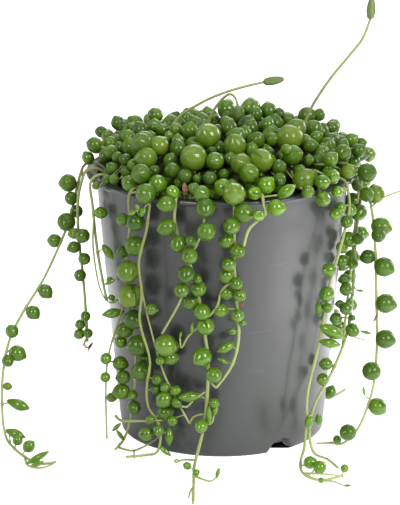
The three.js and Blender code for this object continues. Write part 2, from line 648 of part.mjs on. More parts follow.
// The pearls that show at the front and along the top of the crown, [x, y, z, radius].
const CROWN_PEARLS = [
  [-56, -3, 130, 3.4], [-49, -1, 130, 3.3], [-47, 27, 133, 3], [-44, 17, 134, 2.1], [-39, 22, 134, 3.5],
  [-36, 1, 136, 3.4], [-41, -5, 134, 3], [-30, 26, 137, 3.2], [-30, 3, 136.5, 2.1],
  [-51, -10, 127, 2.8], [-48, -14, 129.5, 2.9], [-45, -22, 129, 2.4], [-47, -25, 125, 2.6],
  [-41, -31, 125, 2.4], [-38, -33, 128.5, 2.4], [-49.3, -31, 121.5, 2], [-53.2, -33.5, 119, 1.6],
  [-46, -35, 122.6, 2.1], [-41.8, -42.3, 122.1, 2.4], [-32, -35, 132, 4.3], [-27, -28, 135.5, 4.1],
  [-26, -4, 137, 2.5], [-20, -7, 137.5, 3], [-23, -11, 136, 2], [-25, -18, 135, 2.3],
  [-19, -23, 136.5, 2.5], [-14, -12, 138.5, 3.4], [-12, -43, 134, 5.3], [-6, -24, 139, 5],
  [-3, -45, 133, 3.5], [-21, -45, 129, 3.2], [-15.5, -49, 127.5, 2.9], [-10.5, -51, 127, 1.8],
  [-5, -52.5, 127.5, 2.8], [-31, -44, 125.5, 3.8], [-16, 20, 137, 2.6], [-10, 20, 137.5, 2.3],
  [-5, 17, 138, 2.3], [-4.5, -34, 134.5, 2.1], [2, 33, 138, 3.9], [7, 22, 138, 3.4], [13, 31, 139, 4.2],
  [15, 23, 138, 3], [21, 30, 138, 3.6], [26, 27, 137, 2.5], [20, 2, 138, 2.9], [30, 20, 136.5, 2.4],
  [38, 20, 138, 3.6], [42, 20, 137, 2.7], [40, 3, 135.5, 4], [41, -6, 134, 2.7], [29, -21, 137.5, 5.2],
  [32, -11, 139, 4.3], [21.3, -22, 137, 2.8], [30, -34, 133, 4.1], [5.5, -33, 137, 4.5],
  [15, -25, 137.5, 3.2], [16.5, -44, 133, 4.9], [8, -46, 132, 4.3], [11, -50.5, 128.5, 4],
  [20, -33, 134, 2.2], [24.5, -34, 133, 2.3], [24, -43, 130, 3], [24, -49, 126, 2.9],
  [38, -19, 133.5, 2.9], [43, -20, 131, 2.6], [37, -31, 130, 2.2], [42, -31, 128, 3.1],
  [48, -19, 128.5, 3.1], [48, 0, 131.5, 3.1], [53, -5, 130, 2.8], [57, 0, 131.5, 2.9],
  [56, -6, 124.5, 3.3], [34.5, -43, 124.5, 4.5], [36, -52, 121.5, 2.7], [46, -38, 122, 2.8],
];

// The others fill the room between them, from large to small: [how many tries, largest radius,
// smallest radius, least lift, most lift], with the lift in pearl radii above the dome.
const FILLINGS = [[80, 4, 3.4, 0.1, 0.6]];

const crownDraw = drawer(5);
for (const [x, y, z, size] of CROWN_PEARLS) {
  const outwards = vec(x / 50, y / 50, 0.6).normalize();
  const lean = vec(crownDraw() - 0.5, crownDraw() - 0.5, crownDraw() - 0.5);
  const way = outwards.clone().addScaledVector(lean, 1.2);
  seatPearl('crown', footOnCrown(x, y, size), vec(0, 0, 0), vec(x, y, z), size, way, outwards);
}
shootLines.forEach((line, i) =>
  growPearls('crown', line, { from: 6, to: 0, gap: [8, 8], size: [3.4, 2.8], seed: 300 + i }, 0),
);
for (const [tries, large, small, low, high] of FILLINGS) {
  for (let i = 0; i < tries; i++) {
    const radius = (CROWN.radius - 0.3) * Math.sqrt(crownDraw());
    const p = around(360 * crownDraw(), radius, 0);
    const size = mix(large, small, crownDraw());
    seatOnCrown(p.x, p.y, size, mix(low, high, crownDraw()), crownDraw);
  }
}

// ---------------------------------------------------------------- solids

/**
 * A leaf: a berry with a corner drawn out to its tip and the opposite one sunk in the stem. Where the
 * leaf stands off its stem, that corner is drawn out to it.
 */
function pearlSolid({ centre, axis, size, foot, standsOff }) {
  let berry;
  if (size < PEARL.plainBelow) {
    berry = new THREE.OctahedronGeometry(PEARL.plainSwell * size, 0);
  } else {
    const corner = vec(0, 1, (1 + Math.sqrt(5)) / 2).normalize();
    berry = new THREE.IcosahedronGeometry(PEARL.swell * size, 0);
    berry.applyQuaternion(new THREE.Quaternion().setFromUnitVectors(corner, vec(0, 1, 0)));
  }
  const spots = berry.attributes.position;
  for (let i = 0; i < spots.count; i++) {
    if (spots.getY(i) > size) spots.setY(i, PEARL.tip * size);
    if (standsOff && spots.getY(i) < -size) spots.setY(i, -centre.distanceTo(foot));
  }
  const way = standsOff ? centre.clone().sub(foot).normalize() : axis;
  const turn = new THREE.Quaternion().setFromUnitVectors(vec(0, 1, 0), way);
  return solidOf(berry.applyQuaternion(turn).translate(centre.x, centre.y, centre.z));
}

const pearlsOf = (owner) => pearls.filter((p) => p.owner === owner).map(pearlSolid);

function strandSolid(strand) {
  const rods = lines.get(strand.name).map((line) => rod(line, STEM.radius, STEM.sides));
  return wasm.Manifold.union([...rods, ...pearlsOf(strand.name)]);
}

/** The plain hole that a strand stands in: straight, and wider than the stem. */
function soilHole(strand) {
  const [foot, mouth] = lines.get(strand.name)[0].knots;
  const down = foot.clone().sub(mouth).normalize();
  return rod(new KnottedLine([mouth, foot.clone().addScaledVector(down, 1)]), STEM.radius + STEM.hole, STEM.sides);
}

function soil() {
  const bottom = POT.floorLift + POT.wall + GAP;
  const inside = (z) => wallRadius(z) - POT.wall - GAP;
  const { top, relief } = SOIL;
  let body = turned(
    [
      [0, bottom],
      [inside(bottom), bottom],
      [inside(top - 2), top - 2],
      [inside(top) - 3, top - relief],
      [inside(top) - 9, top + relief],
      [30, top],
      [0, top + relief],
    ],
    POT.sides,
  );
  for (const strand of STRANDS) body = body.subtract(soilHole(strand));
  return body.subtract(rootstock(2 * GAP));
}

/** The short stump under the crown, wider by a clearance where it cuts its own hole. */
function rootstock(clearance) {
  const { radius, depth, sides } = ROOTSTOCK;
  const bottom = SOIL.top - depth - clearance;
  return turned([[0, bottom], [radius + clearance, bottom], [radius + clearance, 112], [0, 112]], sides);
}

function crown() {
  const bottom = SOIL.top + SOIL.relief + GAP;
  const { neck, radius, shoulder } = CROWN;
  const profile = [[0, bottom], [neck - 4, bottom], [neck, bottom + 5], [neck, shoulder - 6.5]];
  profile.push([radius - 0.5, shoulder - 1]);
  for (const share of [1, 0.95, 0.8, 0.5]) profile.push([radius * share, crownHeight(radius * share)]);
  profile.push([0, CROWN.top]);
  const shoots = shootLines.map((line) => rod(line, STEM.radius, STEM.sides));
  let body = wasm.Manifold.union([turned(profile, 16), rootstock(0), ...shoots, ...pearlsOf('crown')]);
  for (const stalk of STALKS) {
    const [foot, mouth] = lines.get(stalk.name)[0].knots;
    const down = foot.clone().sub(mouth).normalize();
    const hole = new KnottedLine([mouth, foot.clone().addScaledVector(down, 1)]);
    body = body.subtract(rod(hole, STALK.radius + STALK.hole, STALK.sides));
  }
  return body;
}

/** A closed bud: a slim ribbed spindle of narrow bracts. */
function budSolid(foot, { length, radius, towards }) {
  const geometry = new THREE.LatheGeometry(
    [
      [0, -1],
      [0.75 * radius, 0.06 * length],
      [radius, 0.42 * length],
      [0.62 * radius, 0.82 * length],
      [0, length],
    ].map(([r, y]) => new THREE.Vector2(r, y)),
    6,
  );
  const turn = new THREE.Quaternion().setFromUnitVectors(vec(0, 1, 0), vec(...towards).normalize());
  return solidOf(geometry.applyQuaternion(turn).translate(foot.x, foot.y, foot.z));
}

function stalkSolid(stalk) {
  const [line] = lines.get(stalk.name);
  const stem = rod(line, STALK.radius, STALK.sides);
  return stem.add(budSolid(line.getPointAt(1), stalk.bud));
}

// ---------------------------------------------------------------- the potted plant

const plant = new THREE.Group();
plant.add(meshOf('pot', pot(), MATERIALS.pot));
plant.add(meshOf('soil', soil(), MATERIALS.soil));
plant.add(meshOf('crown', crown(), MATERIALS.pearls));
for (const strand of STRANDS) plant.add(meshOf(strand.name, strandSolid(strand), MATERIALS.pearls));
for (const stalk of STALKS) plant.add(meshOf(stalk.name, stalkSolid(stalk), MATERIALS.stalk));

export default plant;
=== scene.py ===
# %% [markdown]
# # A potted string of pearls
#
# A trailing plant with leaves like green pearls, in a grey plastic nursery pot. The frame holds its
# plain solids at their real size: a pot, a block of potting soil, a crown, twenty strands and three
# flower stalks. This lesson dresses each of them with a finer surface, in the same place and of nearly
# the same form. Nearly every shape here is one function of two parameters, worked out for a whole grid
# of points at once with numpy, and lengths are in millimetres until a mesh is made.

# %% Load the frame and keep its size
import math

import bpy
import numpy as np
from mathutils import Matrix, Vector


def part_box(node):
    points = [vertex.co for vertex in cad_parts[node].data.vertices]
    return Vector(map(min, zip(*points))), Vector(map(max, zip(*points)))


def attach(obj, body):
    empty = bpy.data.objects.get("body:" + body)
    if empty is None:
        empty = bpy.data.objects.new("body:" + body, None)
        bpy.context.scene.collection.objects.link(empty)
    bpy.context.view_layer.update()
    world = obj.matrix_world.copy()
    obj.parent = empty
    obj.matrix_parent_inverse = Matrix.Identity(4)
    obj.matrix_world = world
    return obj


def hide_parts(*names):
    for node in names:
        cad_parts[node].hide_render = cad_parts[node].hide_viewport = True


MM = 0.001  # a millimetre in Blender's metres
TAU = 2 * math.pi

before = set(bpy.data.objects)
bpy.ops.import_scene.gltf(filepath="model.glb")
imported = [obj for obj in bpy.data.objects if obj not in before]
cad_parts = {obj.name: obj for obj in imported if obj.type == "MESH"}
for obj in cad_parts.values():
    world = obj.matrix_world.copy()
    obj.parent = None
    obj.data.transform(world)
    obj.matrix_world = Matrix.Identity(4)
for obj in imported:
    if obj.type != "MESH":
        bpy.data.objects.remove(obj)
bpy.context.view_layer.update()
print("frame pieces:", len(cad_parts))


def box_mm(node):
    """The lowest and the highest corner of a frame piece, in millimetres."""
    low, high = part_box(node)
    return np.array(low) / MM, np.array(high) / MM


# %% [markdown]
# ## The camera
#
# The plant was looked at from the front and a little from above, through a long lens, so that its
# upright sides stay nearly upright. A small shift of the lens puts it where it stands in the view.

# %% Camera
CAMERA_DISTANCE = 1.0  # metres from the middle of the pot
CAMERA_ELEVATION = math.radians(17.3)
CAMERA_AIM = (0.0, 0.0, 0.060)

lens = bpy.data.cameras.new("camera")
lens.sensor_fit = "VERTICAL"
lens.sensor_height = 36.0
lens.lens = 158.5
lens.shift_x = -0.0436
lens.shift_y = 0.0842
lens.clip_end = 20.0
camera = bpy.data.objects.new("camera", lens)
camera.location = (
    0.0,
    -CAMERA_DISTANCE * math.cos(CAMERA_ELEVATION),
    CAMERA_AIM[2] + CAMERA_DISTANCE * math.sin(CAMERA_ELEVATION),
)
camera.rotation_euler = (math.pi / 2 - CAMERA_ELEVATION, 0.0, 0.0)
bpy.context.scene.collection.objects.link(camera)
bpy.context.scene.camera = camera
print("camera at", tuple(round(c, 3) for c in camera.location))

# %% [markdown]
# ## From arrays to a mesh
#
# Each surface comes as a part: its points, its faces as rows of point numbers, a pair of surface
# coordinates for every corner of every face, and a colour per point that carries three facts for the
# material. Parts that are one piece on the plant, such as the pearls of one strand, are stacked and
# written into a mesh in one go with foreach_set, which is far quicker than a loop over vertices.

# %% Parts


def part(points, quads, quad_uv, tris=None, tri_uv=None, facts=(0.5, 0.0, 0.0)):
    """One surface. facts is (tint, youth, paleness), for the whole part or one row per point."""
    points = np.asarray(points, float).reshape(-1, 3)
    return {
        "points": points,
        "quads": np.asarray(quads, int).reshape(-1, 4),
        "quad_uv": np.asarray(quad_uv, float).reshape(-1, 4, 2),
        "tris": np.zeros((0, 3), int) if tris is None else np.asarray(tris, int).reshape(-1, 3),
        "tri_uv": np.zeros((0, 3, 2)) if tri_uv is None else np.asarray(tri_uv, float).reshape(-1, 3, 2),
        "facts": np.broadcast_to(np.asarray(facts, float), (len(points), 3)),
    }


def stacked(parts):
    """Several parts as one: the point numbers of each are raised by the points before it."""
    starts = np.cumsum([0] + [len(p["points"]) for p in parts])
    joined = {}
    for key in ("points", "quad_uv", "tri_uv", "facts"):
        joined[key] = np.concatenate([p[key] for p in parts])
    for key in ("quads", "tris"):
        joined[key] = np.concatenate([p[key] + start for p, start in zip(parts, starts)])
    return joined


print("a part carries", *part(np.zeros((4, 3)), [0, 1, 2, 3], np.zeros((4, 2))))

# %% Make a piece


def make_piece(name, parts, material, *replaced, slot="pearls", smooth=True):
    """Stack the parts into one mesh object in the row frame, and tie it to the body it rides on."""
    whole = stacked(parts)
    quads, tris = whole["quads"], whole["tris"]
    mesh = bpy.data.meshes.new(name)
    mesh.vertices.add(len(whole["points"]))
    mesh.vertices.foreach_set("co", (whole["points"] * MM).ravel())
    mesh.loops.add(quads.size + tris.size)
    mesh.loops.foreach_set("vertex_index", np.concatenate([quads.ravel(), tris.ravel()]))
    mesh.polygons.add(len(quads) + len(tris))
    starts = np.concatenate([4 * np.arange(len(quads)), quads.size + 3 * np.arange(len(tris))])
    mesh.polygons.foreach_set("loop_start", starts)
    mesh.update(calc_edges=True)
    mesh.polygons.foreach_set("use_smooth", np.full(len(mesh.polygons), smooth))
    corners = np.concatenate([whole["quad_uv"].reshape(-1, 2), whole["tri_uv"].reshape(-1, 2)])
    mesh.uv_layers.new(name="UVMap").uv.foreach_set("vector", corners.ravel())
    colour = np.concatenate([whole["facts"], np.ones((len(whole["facts"]), 1))], axis=1)
    mesh.attributes.new("leaf", "FLOAT_COLOR", "POINT").data.foreach_set("color", colour.ravel())
    mesh.materials.append(material)
    piece = bpy.data.objects.new(name, mesh)
    bpy.context.scene.collection.objects.link(piece)
    if replaced:
        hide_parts(*replaced)
    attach(piece, "root")
    print(f"{name}: {len(quads) * 2 + len(tris)} triangles")
    return piece


# %% A grid of points as a closed part


def unit(vectors):
    """Each row divided by its own length."""
    vectors = np.asarray(vectors, float)
    return vectors / np.maximum(np.linalg.norm(vectors, axis=-1, keepdims=True), 1e-9)


def wrapped_grid(grid, facts=(0.5, 0.0, 0.0), along=None):
    """A closed skin over a grid of shape (rings, around, 3).

    Rows follow each other along the shape and each row runs once round it, counterclockwise seen
    against the way of the rows. The first and the last row shrink to their mean: they are the poles.
    u is the share of a turn and v is along[row], or the share of the rows.
    """
    rings, around = grid.shape[:2]
    along = np.linspace(0, 1, rings) if along is None else np.asarray(along, float)
    body = grid[1:-1].reshape(-1, 3)
    points = np.concatenate([grid[0].mean(axis=0)[None], body, grid[-1].mean(axis=0)[None]])
    column = np.arange(around)
    after = (column + 1) % around
    row = 1 + np.arange(rings - 3)[:, None] * around
    quads = np.stack([row + column, row + after, row + around + after, row + around + column], axis=-1)
    left, right = column / around, (column + 1) / around
    low, high = along[1:-2, None], along[2:-1, None]
    u = np.stack([left, right, right, left], axis=-1)[None].repeat(rings - 3, axis=0)
    v = np.stack([low, low, high, high], axis=-1).repeat(around, axis=1)
    top = len(body) - around + 1
    tris = np.concatenate([
        np.stack([np.zeros_like(column), 1 + after, 1 + column], axis=-1),
        np.stack([top + column, top + after, np.full_like(column, len(points) - 1)], axis=-1),
    ])
    middle = (left + right) / 2
    foot_v = np.broadcast_to(along[[0, 1, 1]], (around, 3))
    head_v = np.broadcast_to(along[[-2, -2, -1]], (around, 3))
    foot = np.stack([np.stack([middle, right, left], axis=-1), foot_v], axis=-1)
    head = np.stack([np.stack([left, right, middle], axis=-1), head_v], axis=-1)
    if np.ndim(facts) == 2 and len(facts) == rings:  # one row of facts per ring
        facts = np.asarray(facts, float)
        facts = np.concatenate([facts[:1], facts[1:-1].repeat(around, axis=0), facts[-1:]])
    return part(points, quads, np.stack([u, v], -1), tris, np.concatenate([foot, head]), facts)


def turned(profile, around):
    """A surface of revolution: [radius, height] rows carried round the Z axis.

    A point is (r sin b, -r cos b, z), so bearing b = 0 is the front and b grows towards +X.
    """
    profile = np.asarray(profile, float)
    bearing = np.arange(around) / around * TAU
    radius, height = profile[:, 0, None], profile[:, 1, None]
    grid = np.stack([radius * np.sin(bearing), -radius * np.cos(bearing), height + 0 * bearing], axis=-1)
    return wrapped_grid(grid)


print("helpers for meshes are ready")

# %% [markdown]
# ## Ripples
#
# Soil, dust and wax are never even. Sine waves that run in many seeded directions add up to a smooth
# bumpy field, which costs one matrix product for any number of points.

# %% Ripples


def ripples(points, wavelength, seed, waves=14):
    """A field from about -1 to 1: the scaled mean of sine waves of mixed directions and lengths."""
    draw = np.random.default_rng(seed)
    direction = unit(draw.normal(size=(waves, 3)))
    length = wavelength * draw.uniform(0.6, 1.7, waves)
    phase = draw.uniform(0, TAU, waves)
    return np.sin(TAU * np.asarray(points) @ (direction / length[:, None]).T + phase).mean(axis=-1) * 2.2


print("ripples span", np.round(ripples(np.random.default_rng(1).uniform(0, 90, (500, 3)), 9, 2).std(), 2))

# %% [markdown]
# ## Building shaders from small functions
#
# A node tree could be laid out by hand, but in code it soon grows long. A few helpers keep it short:
# each adds one node with its settings and inputs, and hands back the socket that follows from it. An
# effect that several finishes share is a node group, made once below.

# %% Node helpers


def add_node(tree, kind, inputs=None, **settings):
    """A node of a kind, with its settings, and each named input given a value or a socket to follow."""
    made = tree.nodes.new(kind)
    for key, value in settings.items():
        setattr(made, key, value)
    for socket, value in (inputs or {}).items():
        if isinstance(value, bpy.types.NodeSocket):
            tree.links.new(value, made.inputs[socket])
        else:
            made.inputs[socket].default_value = value
    return made


def mixed(tree, factor, first, second):
    """The colour that runs from the first to the second as the factor goes from 0 to 1."""
    return add_node(tree, "ShaderNodeMix", {0: factor, 6: first, 7: second}, data_type="RGBA").outputs[2]


def maths(tree, operation, first, second=0.0):
    """The result of one sum on numbers."""
    return add_node(tree, "ShaderNodeMath", {0: first, 1: second}, operation=operation).outputs[0]


def times(tree, first, second):
    """The product of two numbers."""
    return maths(tree, "MULTIPLY", first, second)


def ramped(tree, value, low, high, start=0.0, end=1.0):
    """A value eased from start to end while it goes from low to high."""
    inputs = {"Value": value, "From Min": low, "From Max": high, "To Min": start, "To Max": end}
    return add_node(tree, "ShaderNodeMapRange", inputs, interpolation_type="SMOOTHSTEP").outputs[0]


def rgb(red, green, blue):
    return (red, green, blue, 1.0)


print("node helpers are ready")

# %% Helpers that read the surface


def object_place(tree):
    """The place of a point on its piece, in metres."""
    return add_node(tree, "ShaderNodeTexCoord").outputs["Object"]


def skin_place(tree):
    """The surface coordinates: u round the piece and v along it."""
    flat = add_node(tree, "ShaderNodeUVMap", uv_map="UVMap").outputs[0]
    return add_node(tree, "ShaderNodeSeparateXYZ", {0: flat}).outputs[:2]


def leaf_facts(tree):
    """The three facts that a point carries: tint, youth and paleness."""
    facts = add_node(tree, "ShaderNodeAttribute", attribute_name="leaf").outputs["Color"]
    return add_node(tree, "ShaderNodeSeparateColor", {"Color": facts}).outputs


def cloudy(tree, place, scale, detail, **inputs):
    """Soft noise from 0 to 1."""
    inputs = {"Vector": place, "Scale": scale, "Detail": detail, **inputs}
    return add_node(tree, "ShaderNodeTexNoise", inputs).outputs[0]


print("surface helpers are ready")

# %% Node groups


def new_group(name, inputs, outputs):
    """An empty shader node group with named sockets, and its input and output nodes."""
    tree = bpy.data.node_groups.new(name, "ShaderNodeTree")
    kinds = {"colour": "NodeSocketColor", "number": "NodeSocketFloat"}
    for way, sockets in (("INPUT", inputs), ("OUTPUT", outputs)):
        for socket, kind in sockets.items():
            tree.interface.new_socket(name=socket, in_out=way, socket_type=kinds[kind])
    return tree, tree.nodes.new("NodeGroupInput").outputs, tree.nodes.new("NodeGroupOutput").inputs


def placed(tree, group, **inputs):
    """A copy of a group in a material, with values or sockets for its inputs. Underscores are spaces."""
    made = tree.nodes.new("ShaderNodeGroup")
    made.node_tree = group
    for key, value in inputs.items():
        socket = made.inputs[key.replace("_", " ")]
        if isinstance(value, bpy.types.NodeSocket):
            tree.links.new(value, socket)
        else:
            socket.default_value = value
    return made.outputs


print("group helpers are ready")

# %% [markdown]
# ## Effects that more than one finish shares
#
# - Waxy bloom: the thin pale wax that lies in clouds on succulent leaves and that handling rubs off.
# - Specks: grit, perlite dust and lime spots, which sit on some cells of a Voronoi pattern only.
# - Long streaks: fibres and veins that run the length of a leaf, a stem or a bud.
# - Mottling: the slow change of tone that keeps any real surface from being one flat colour.

# %% Waxy bloom
BLOOM, into, out = new_group(
    "waxy bloom",
    {"Leaf": "colour", "Bloom": "colour", "Amount": "number", "Patch Scale": "number"},
    {"Color": "colour", "Mask": "number"},
)
rubbed = ramped(BLOOM, cloudy(BLOOM, object_place(BLOOM), into["Patch Scale"], 4.0), 0.36, 0.66)
mask = times(BLOOM, rubbed, into["Amount"])
BLOOM.links.new(mask, out["Mask"])
BLOOM.links.new(mixed(BLOOM, mask, into["Leaf"], into["Bloom"]), out["Color"])
print(BLOOM.name, "has", len(BLOOM.nodes), "nodes")

# %% Specks
SPECKS, into, out = new_group(
    "specks", {"Scale": "number", "Size": "number", "Share": "number"}, {"Mask": "number"}
)
cells = add_node(SPECKS, "ShaderNodeTexVoronoi", {"Vector": object_place(SPECKS), "Scale": into["Scale"]})
near = maths(SPECKS, "LESS_THAN", cells.outputs["Distance"], into["Size"])
pick = add_node(SPECKS, "ShaderNodeSeparateColor", {"Color": cells.outputs["Color"]}).outputs[0]
chosen = maths(SPECKS, "LESS_THAN", pick, into["Share"])
SPECKS.links.new(times(SPECKS, near, chosen), out["Mask"])
print(SPECKS.name, "has", len(SPECKS.nodes), "nodes")

# %% Long streaks
STREAKS, into, out = new_group("long streaks", {"Count": "number", "Stretch": "number"}, {"Mask": "number"})
u, v = skin_place(STREAKS)
turn = times(STREAKS, u, TAU)
ring = add_node(STREAKS, "ShaderNodeCombineXYZ", {
    0: times(STREAKS, maths(STREAKS, "COSINE", turn), into["Count"]),
    1: times(STREAKS, maths(STREAKS, "SINE", turn), into["Count"]),
    2: times(STREAKS, v, into["Stretch"]),
}).outputs[0]
STREAKS.links.new(ramped(STREAKS, cloudy(STREAKS, ring, 1.0, 3.0), 0.40, 0.64), out["Mask"])
print(STREAKS.name, "has", len(STREAKS.nodes), "nodes")

# %% Mottling
MOTTLE, into, out = new_group(
    "mottling",
    {"Dark": "colour", "Light": "colour", "Scale": "number"},
    {"Color": "colour", "Height": "number"},
)
cloud = cloudy(MOTTLE, object_place(MOTTLE), into["Scale"], 5.0)
MOTTLE.links.new(mixed(MOTTLE, ramped(MOTTLE, cloud, 0.3, 0.7), into["Dark"], into["Light"]), out["Color"])
MOTTLE.links.new(cloud, out["Height"])
print(MOTTLE.name, "has", len(MOTTLE.nodes), "nodes")

# %% Materials start from one Principled shader


def new_material(name, **constants):
    """A material, its node tree and its shader, whose named sockets hold the same value all over."""
    material = bpy.data.materials.new(name)
    material.use_nodes = True
    tree = material.node_tree
    shader = tree.nodes["Principled BSDF"]
    for socket, value in constants.items():
        shader.inputs[socket.replace("_", " ")].default_value = value
    return material, tree, shader


def bump(tree, shader, height, distance, strength):
    """Relief of a height in metres that tips the shading."""
    made = add_node(tree, "ShaderNodeBump", {"Height": height, "Distance": distance, "Strength": strength})
    tree.links.new(made.outputs[0], shader.inputs["Normal"])


print("materials so far:", len(bpy.data.materials))

# %% [markdown]
# ## The leaf finish
#
# A pearl leaf is a little water bag. Its skin is glossy when young and hazed by wax when old, light
# goes a short way into it, and a dark slit, the window, runs along it towards the tip and lets light
# inside. A few materials in different greens would leave whole groups of leaves alike. So one serves
# them all, and a colour attribute says for each leaf how light it is, how young, and how olive-pale.

# %% Pearl leaf
PEARL_LEAF, tree, shader = new_material(
    "pearl leaf",
    Subsurface_Weight=0.10,
    Subsurface_Radius=(0.6, 1.0, 0.08),
    Subsurface_Scale=0.0016,
    Specular_IOR_Level=0.22,
    Coat_Roughness=0.06,
)
tint, youth, pale = leaf_facts(tree)
green = mixed(tree, tint, rgb(0.019, 0.064, 0.0006), rgb(0.078, 0.165, 0.003))
green = mixed(tree, youth, green, rgb(0.120, 0.265, 0.001))
green = mixed(tree, pale, green, rgb(0.140, 0.215, 0.012))
stripes = placed(tree, STREAKS, Count=3.2, Stretch=0.5)["Mask"]
striped = times(tree, stripes, ramped(tree, pale, 0.0, 0.6, 0.04, 0.20))
green = mixed(tree, striped, green, rgb(0.20, 0.32, 0.04))
u, v = skin_place(tree)
aside = maths(tree, "ABSOLUTE", maths(tree, "SUBTRACT", u, 0.5))
slit = ramped(tree, aside, 0.010, 0.045, 1.0, 0.0)
reach = times(tree, ramped(tree, v, 0.30, 0.42), ramped(tree, v, 0.84, 0.92, 1.0, 0.0))
window = times(tree, slit, reach)
shown = ramped(tree, tint, 0.60, 0.75, 0.15, 0.75)
green = mixed(tree, times(tree, window, shown), green, rgb(0.016, 0.070, 0.003))
old = maths(tree, "SUBTRACT", 1.0, youth)
haze = times(tree, old, 0.26)
waxed = placed(tree, BLOOM, Leaf=green, Bloom=rgb(0.115, 0.200, 0.022), Amount=haze, Patch_Scale=230.0)
tip = ramped(tree, v, 0.965, 0.998)
colour = mixed(tree, times(tree, tip, 0.6), waxed["Color"], rgb(0.26, 0.25, 0.09))
foot = ramped(tree, v, 0.02, 0.18, 1.0, 0.0)
colour = mixed(tree, times(tree, foot, 0.45), colour, rgb(0.25, 0.36, 0.07))
grit = placed(tree, SPECKS, Scale=900.0, Size=0.28, Share=0.04)["Mask"]
colour = mixed(tree, times(tree, grit, 0.4), colour, rgb(0.36, 0.40, 0.24))
tree.links.new(colour, shader.inputs["Base Color"])
dull = maths(tree, "ADD", times(tree, old, 0.14), 0.22)
dull = maths(tree, "ADD", dull, times(tree, waxed["Mask"], 0.60))
tree.links.new(dull, shader.inputs["Roughness"])
tree.links.new(ramped(tree, youth, 0.0, 0.5, 0.42, 0.95), shader.inputs["Coat Weight"])
dimples = cloudy(tree, object_place(tree), 700.0, 2.0)
relief = maths(tree, "SUBTRACT", dimples, times(tree, window, 0.8))
bump(tree, shader, relief, 0.0001, 0.5)
print(PEARL_LEAF.name, "reads the attribute leaf and the UV map")

# %% [markdown]
# ## Stems, buds and dry bits
#
# The stems are thin, smooth and pale yellow-green, browner where they are old and at their nodes.
# Flower buds are darker and ribbed. A few leaves have dried to brown paper.

# %% Stem
STEM_SKIN, tree, shader = new_material(
    "stem skin", Roughness=0.42, Subsurface_Weight=0.12, Subsurface_Scale=0.001
)
tint, youth, pale = leaf_facts(tree)
tone = mixed(tree, tint, rgb(0.15, 0.195, 0.045), rgb(0.27, 0.335, 0.10))
tone = mixed(tree, youth, tone, rgb(0.38, 0.47, 0.16))
fibre = placed(tree, STREAKS, Count=2.2, Stretch=0.15)["Mask"]
tone = mixed(tree, times(tree, fibre, 0.30), tone, rgb(0.42, 0.50, 0.20))
tone = mixed(tree, pale, tone, rgb(0.23, 0.14, 0.055))
tree.links.new(tone, shader.inputs["Base Color"])
bump(tree, shader, fibre, 0.00015, 0.5)
print(STEM_SKIN.name, "is ready")

# %% Bud
BUD_SKIN, tree, shader = new_material(
    "bud bracts", Roughness=0.45, Subsurface_Weight=0.10, Subsurface_Scale=0.001
)
_, v = skin_place(tree)
ribs = placed(tree, STREAKS, Count=3.0, Stretch=0.2)["Mask"]
tone = mixed(tree, ribs, rgb(0.075, 0.130, 0.030), rgb(0.20, 0.29, 0.09))
tone = mixed(tree, ramped(tree, v, 0.80, 1.0), tone, rgb(0.16, 0.13, 0.06))
tree.links.new(tone, shader.inputs["Base Color"])
bump(tree, shader, ribs, 0.0002, 0.5)
print(BUD_SKIN.name, "is ready")

# %% Dry leaf
DRY_LEAF, tree, shader = new_material("dry leaf", Roughness=0.75)
dry = placed(tree, MOTTLE, Dark=rgb(0.08, 0.027, 0.010), Light=rgb(0.24, 0.100, 0.043), Scale=320.0)
veins = placed(tree, STREAKS, Count=4.0, Stretch=0.4)["Mask"]
tone = mixed(tree, times(tree, veins, 0.5), dry["Color"], rgb(0.30, 0.18, 0.09))
tree.links.new(tone, shader.inputs["Base Color"])
bump(tree, shader, dry["Height"], 0.0003, 0.7)
print(DRY_LEAF.name, "is ready")

# %% [markdown]
# ## Plastic and soil
#
# The pot is injection-moulded polypropylene, mid grey, satin, with handling scuffs and a few lime
# spots. The soil is dark peat with crumbs and white perlite. Under the leaves lies litter, coloured
# near black as painted shade for the gaps between the leaves.

# %% Pot plastic
POT_PLASTIC, tree, shader = new_material(
    "grey nursery plastic", Specular_IOR_Level=0.5, Coat_Weight=0.7, Coat_Roughness=0.20
)
grey = placed(tree, MOTTLE, Dark=rgb(0.034, 0.037, 0.0355), Light=rgb(0.045, 0.049, 0.047), Scale=14.0)
place = object_place(tree)
slant = add_node(
    tree, "ShaderNodeMapping", {"Vector": place, "Rotation": (0.0, 0.7, 0.5), "Scale": (40.0, 40.0, 420.0)}
).outputs[0]
scuff = ramped(tree, cloudy(tree, slant, 1.0, 6.0, Roughness=0.6), 0.60, 0.72)
scuff = times(tree, scuff, ramped(tree, cloudy(tree, place, 24.0, 2.0), 0.50, 0.62))
tone = mixed(tree, times(tree, scuff, 0.3), grey["Color"], rgb(0.13, 0.13, 0.128))
lime = placed(tree, SPECKS, Scale=210.0, Size=0.10, Share=0.02)["Mask"]
tone = mixed(tree, times(tree, lime, 0.85), tone, rgb(0.70, 0.70, 0.68))
tree.links.new(tone, shader.inputs["Base Color"])
fine = cloudy(tree, place, 900.0, 3.0)
gloss = ramped(tree, fine, 0.2, 0.8, 0.33, 0.45)
tree.links.new(maths(tree, "ADD", gloss, times(tree, scuff, 0.2)), shader.inputs["Roughness"])
bump(tree, shader, fine, 0.00003, 0.5)
print(POT_PLASTIC.name, "is ready")

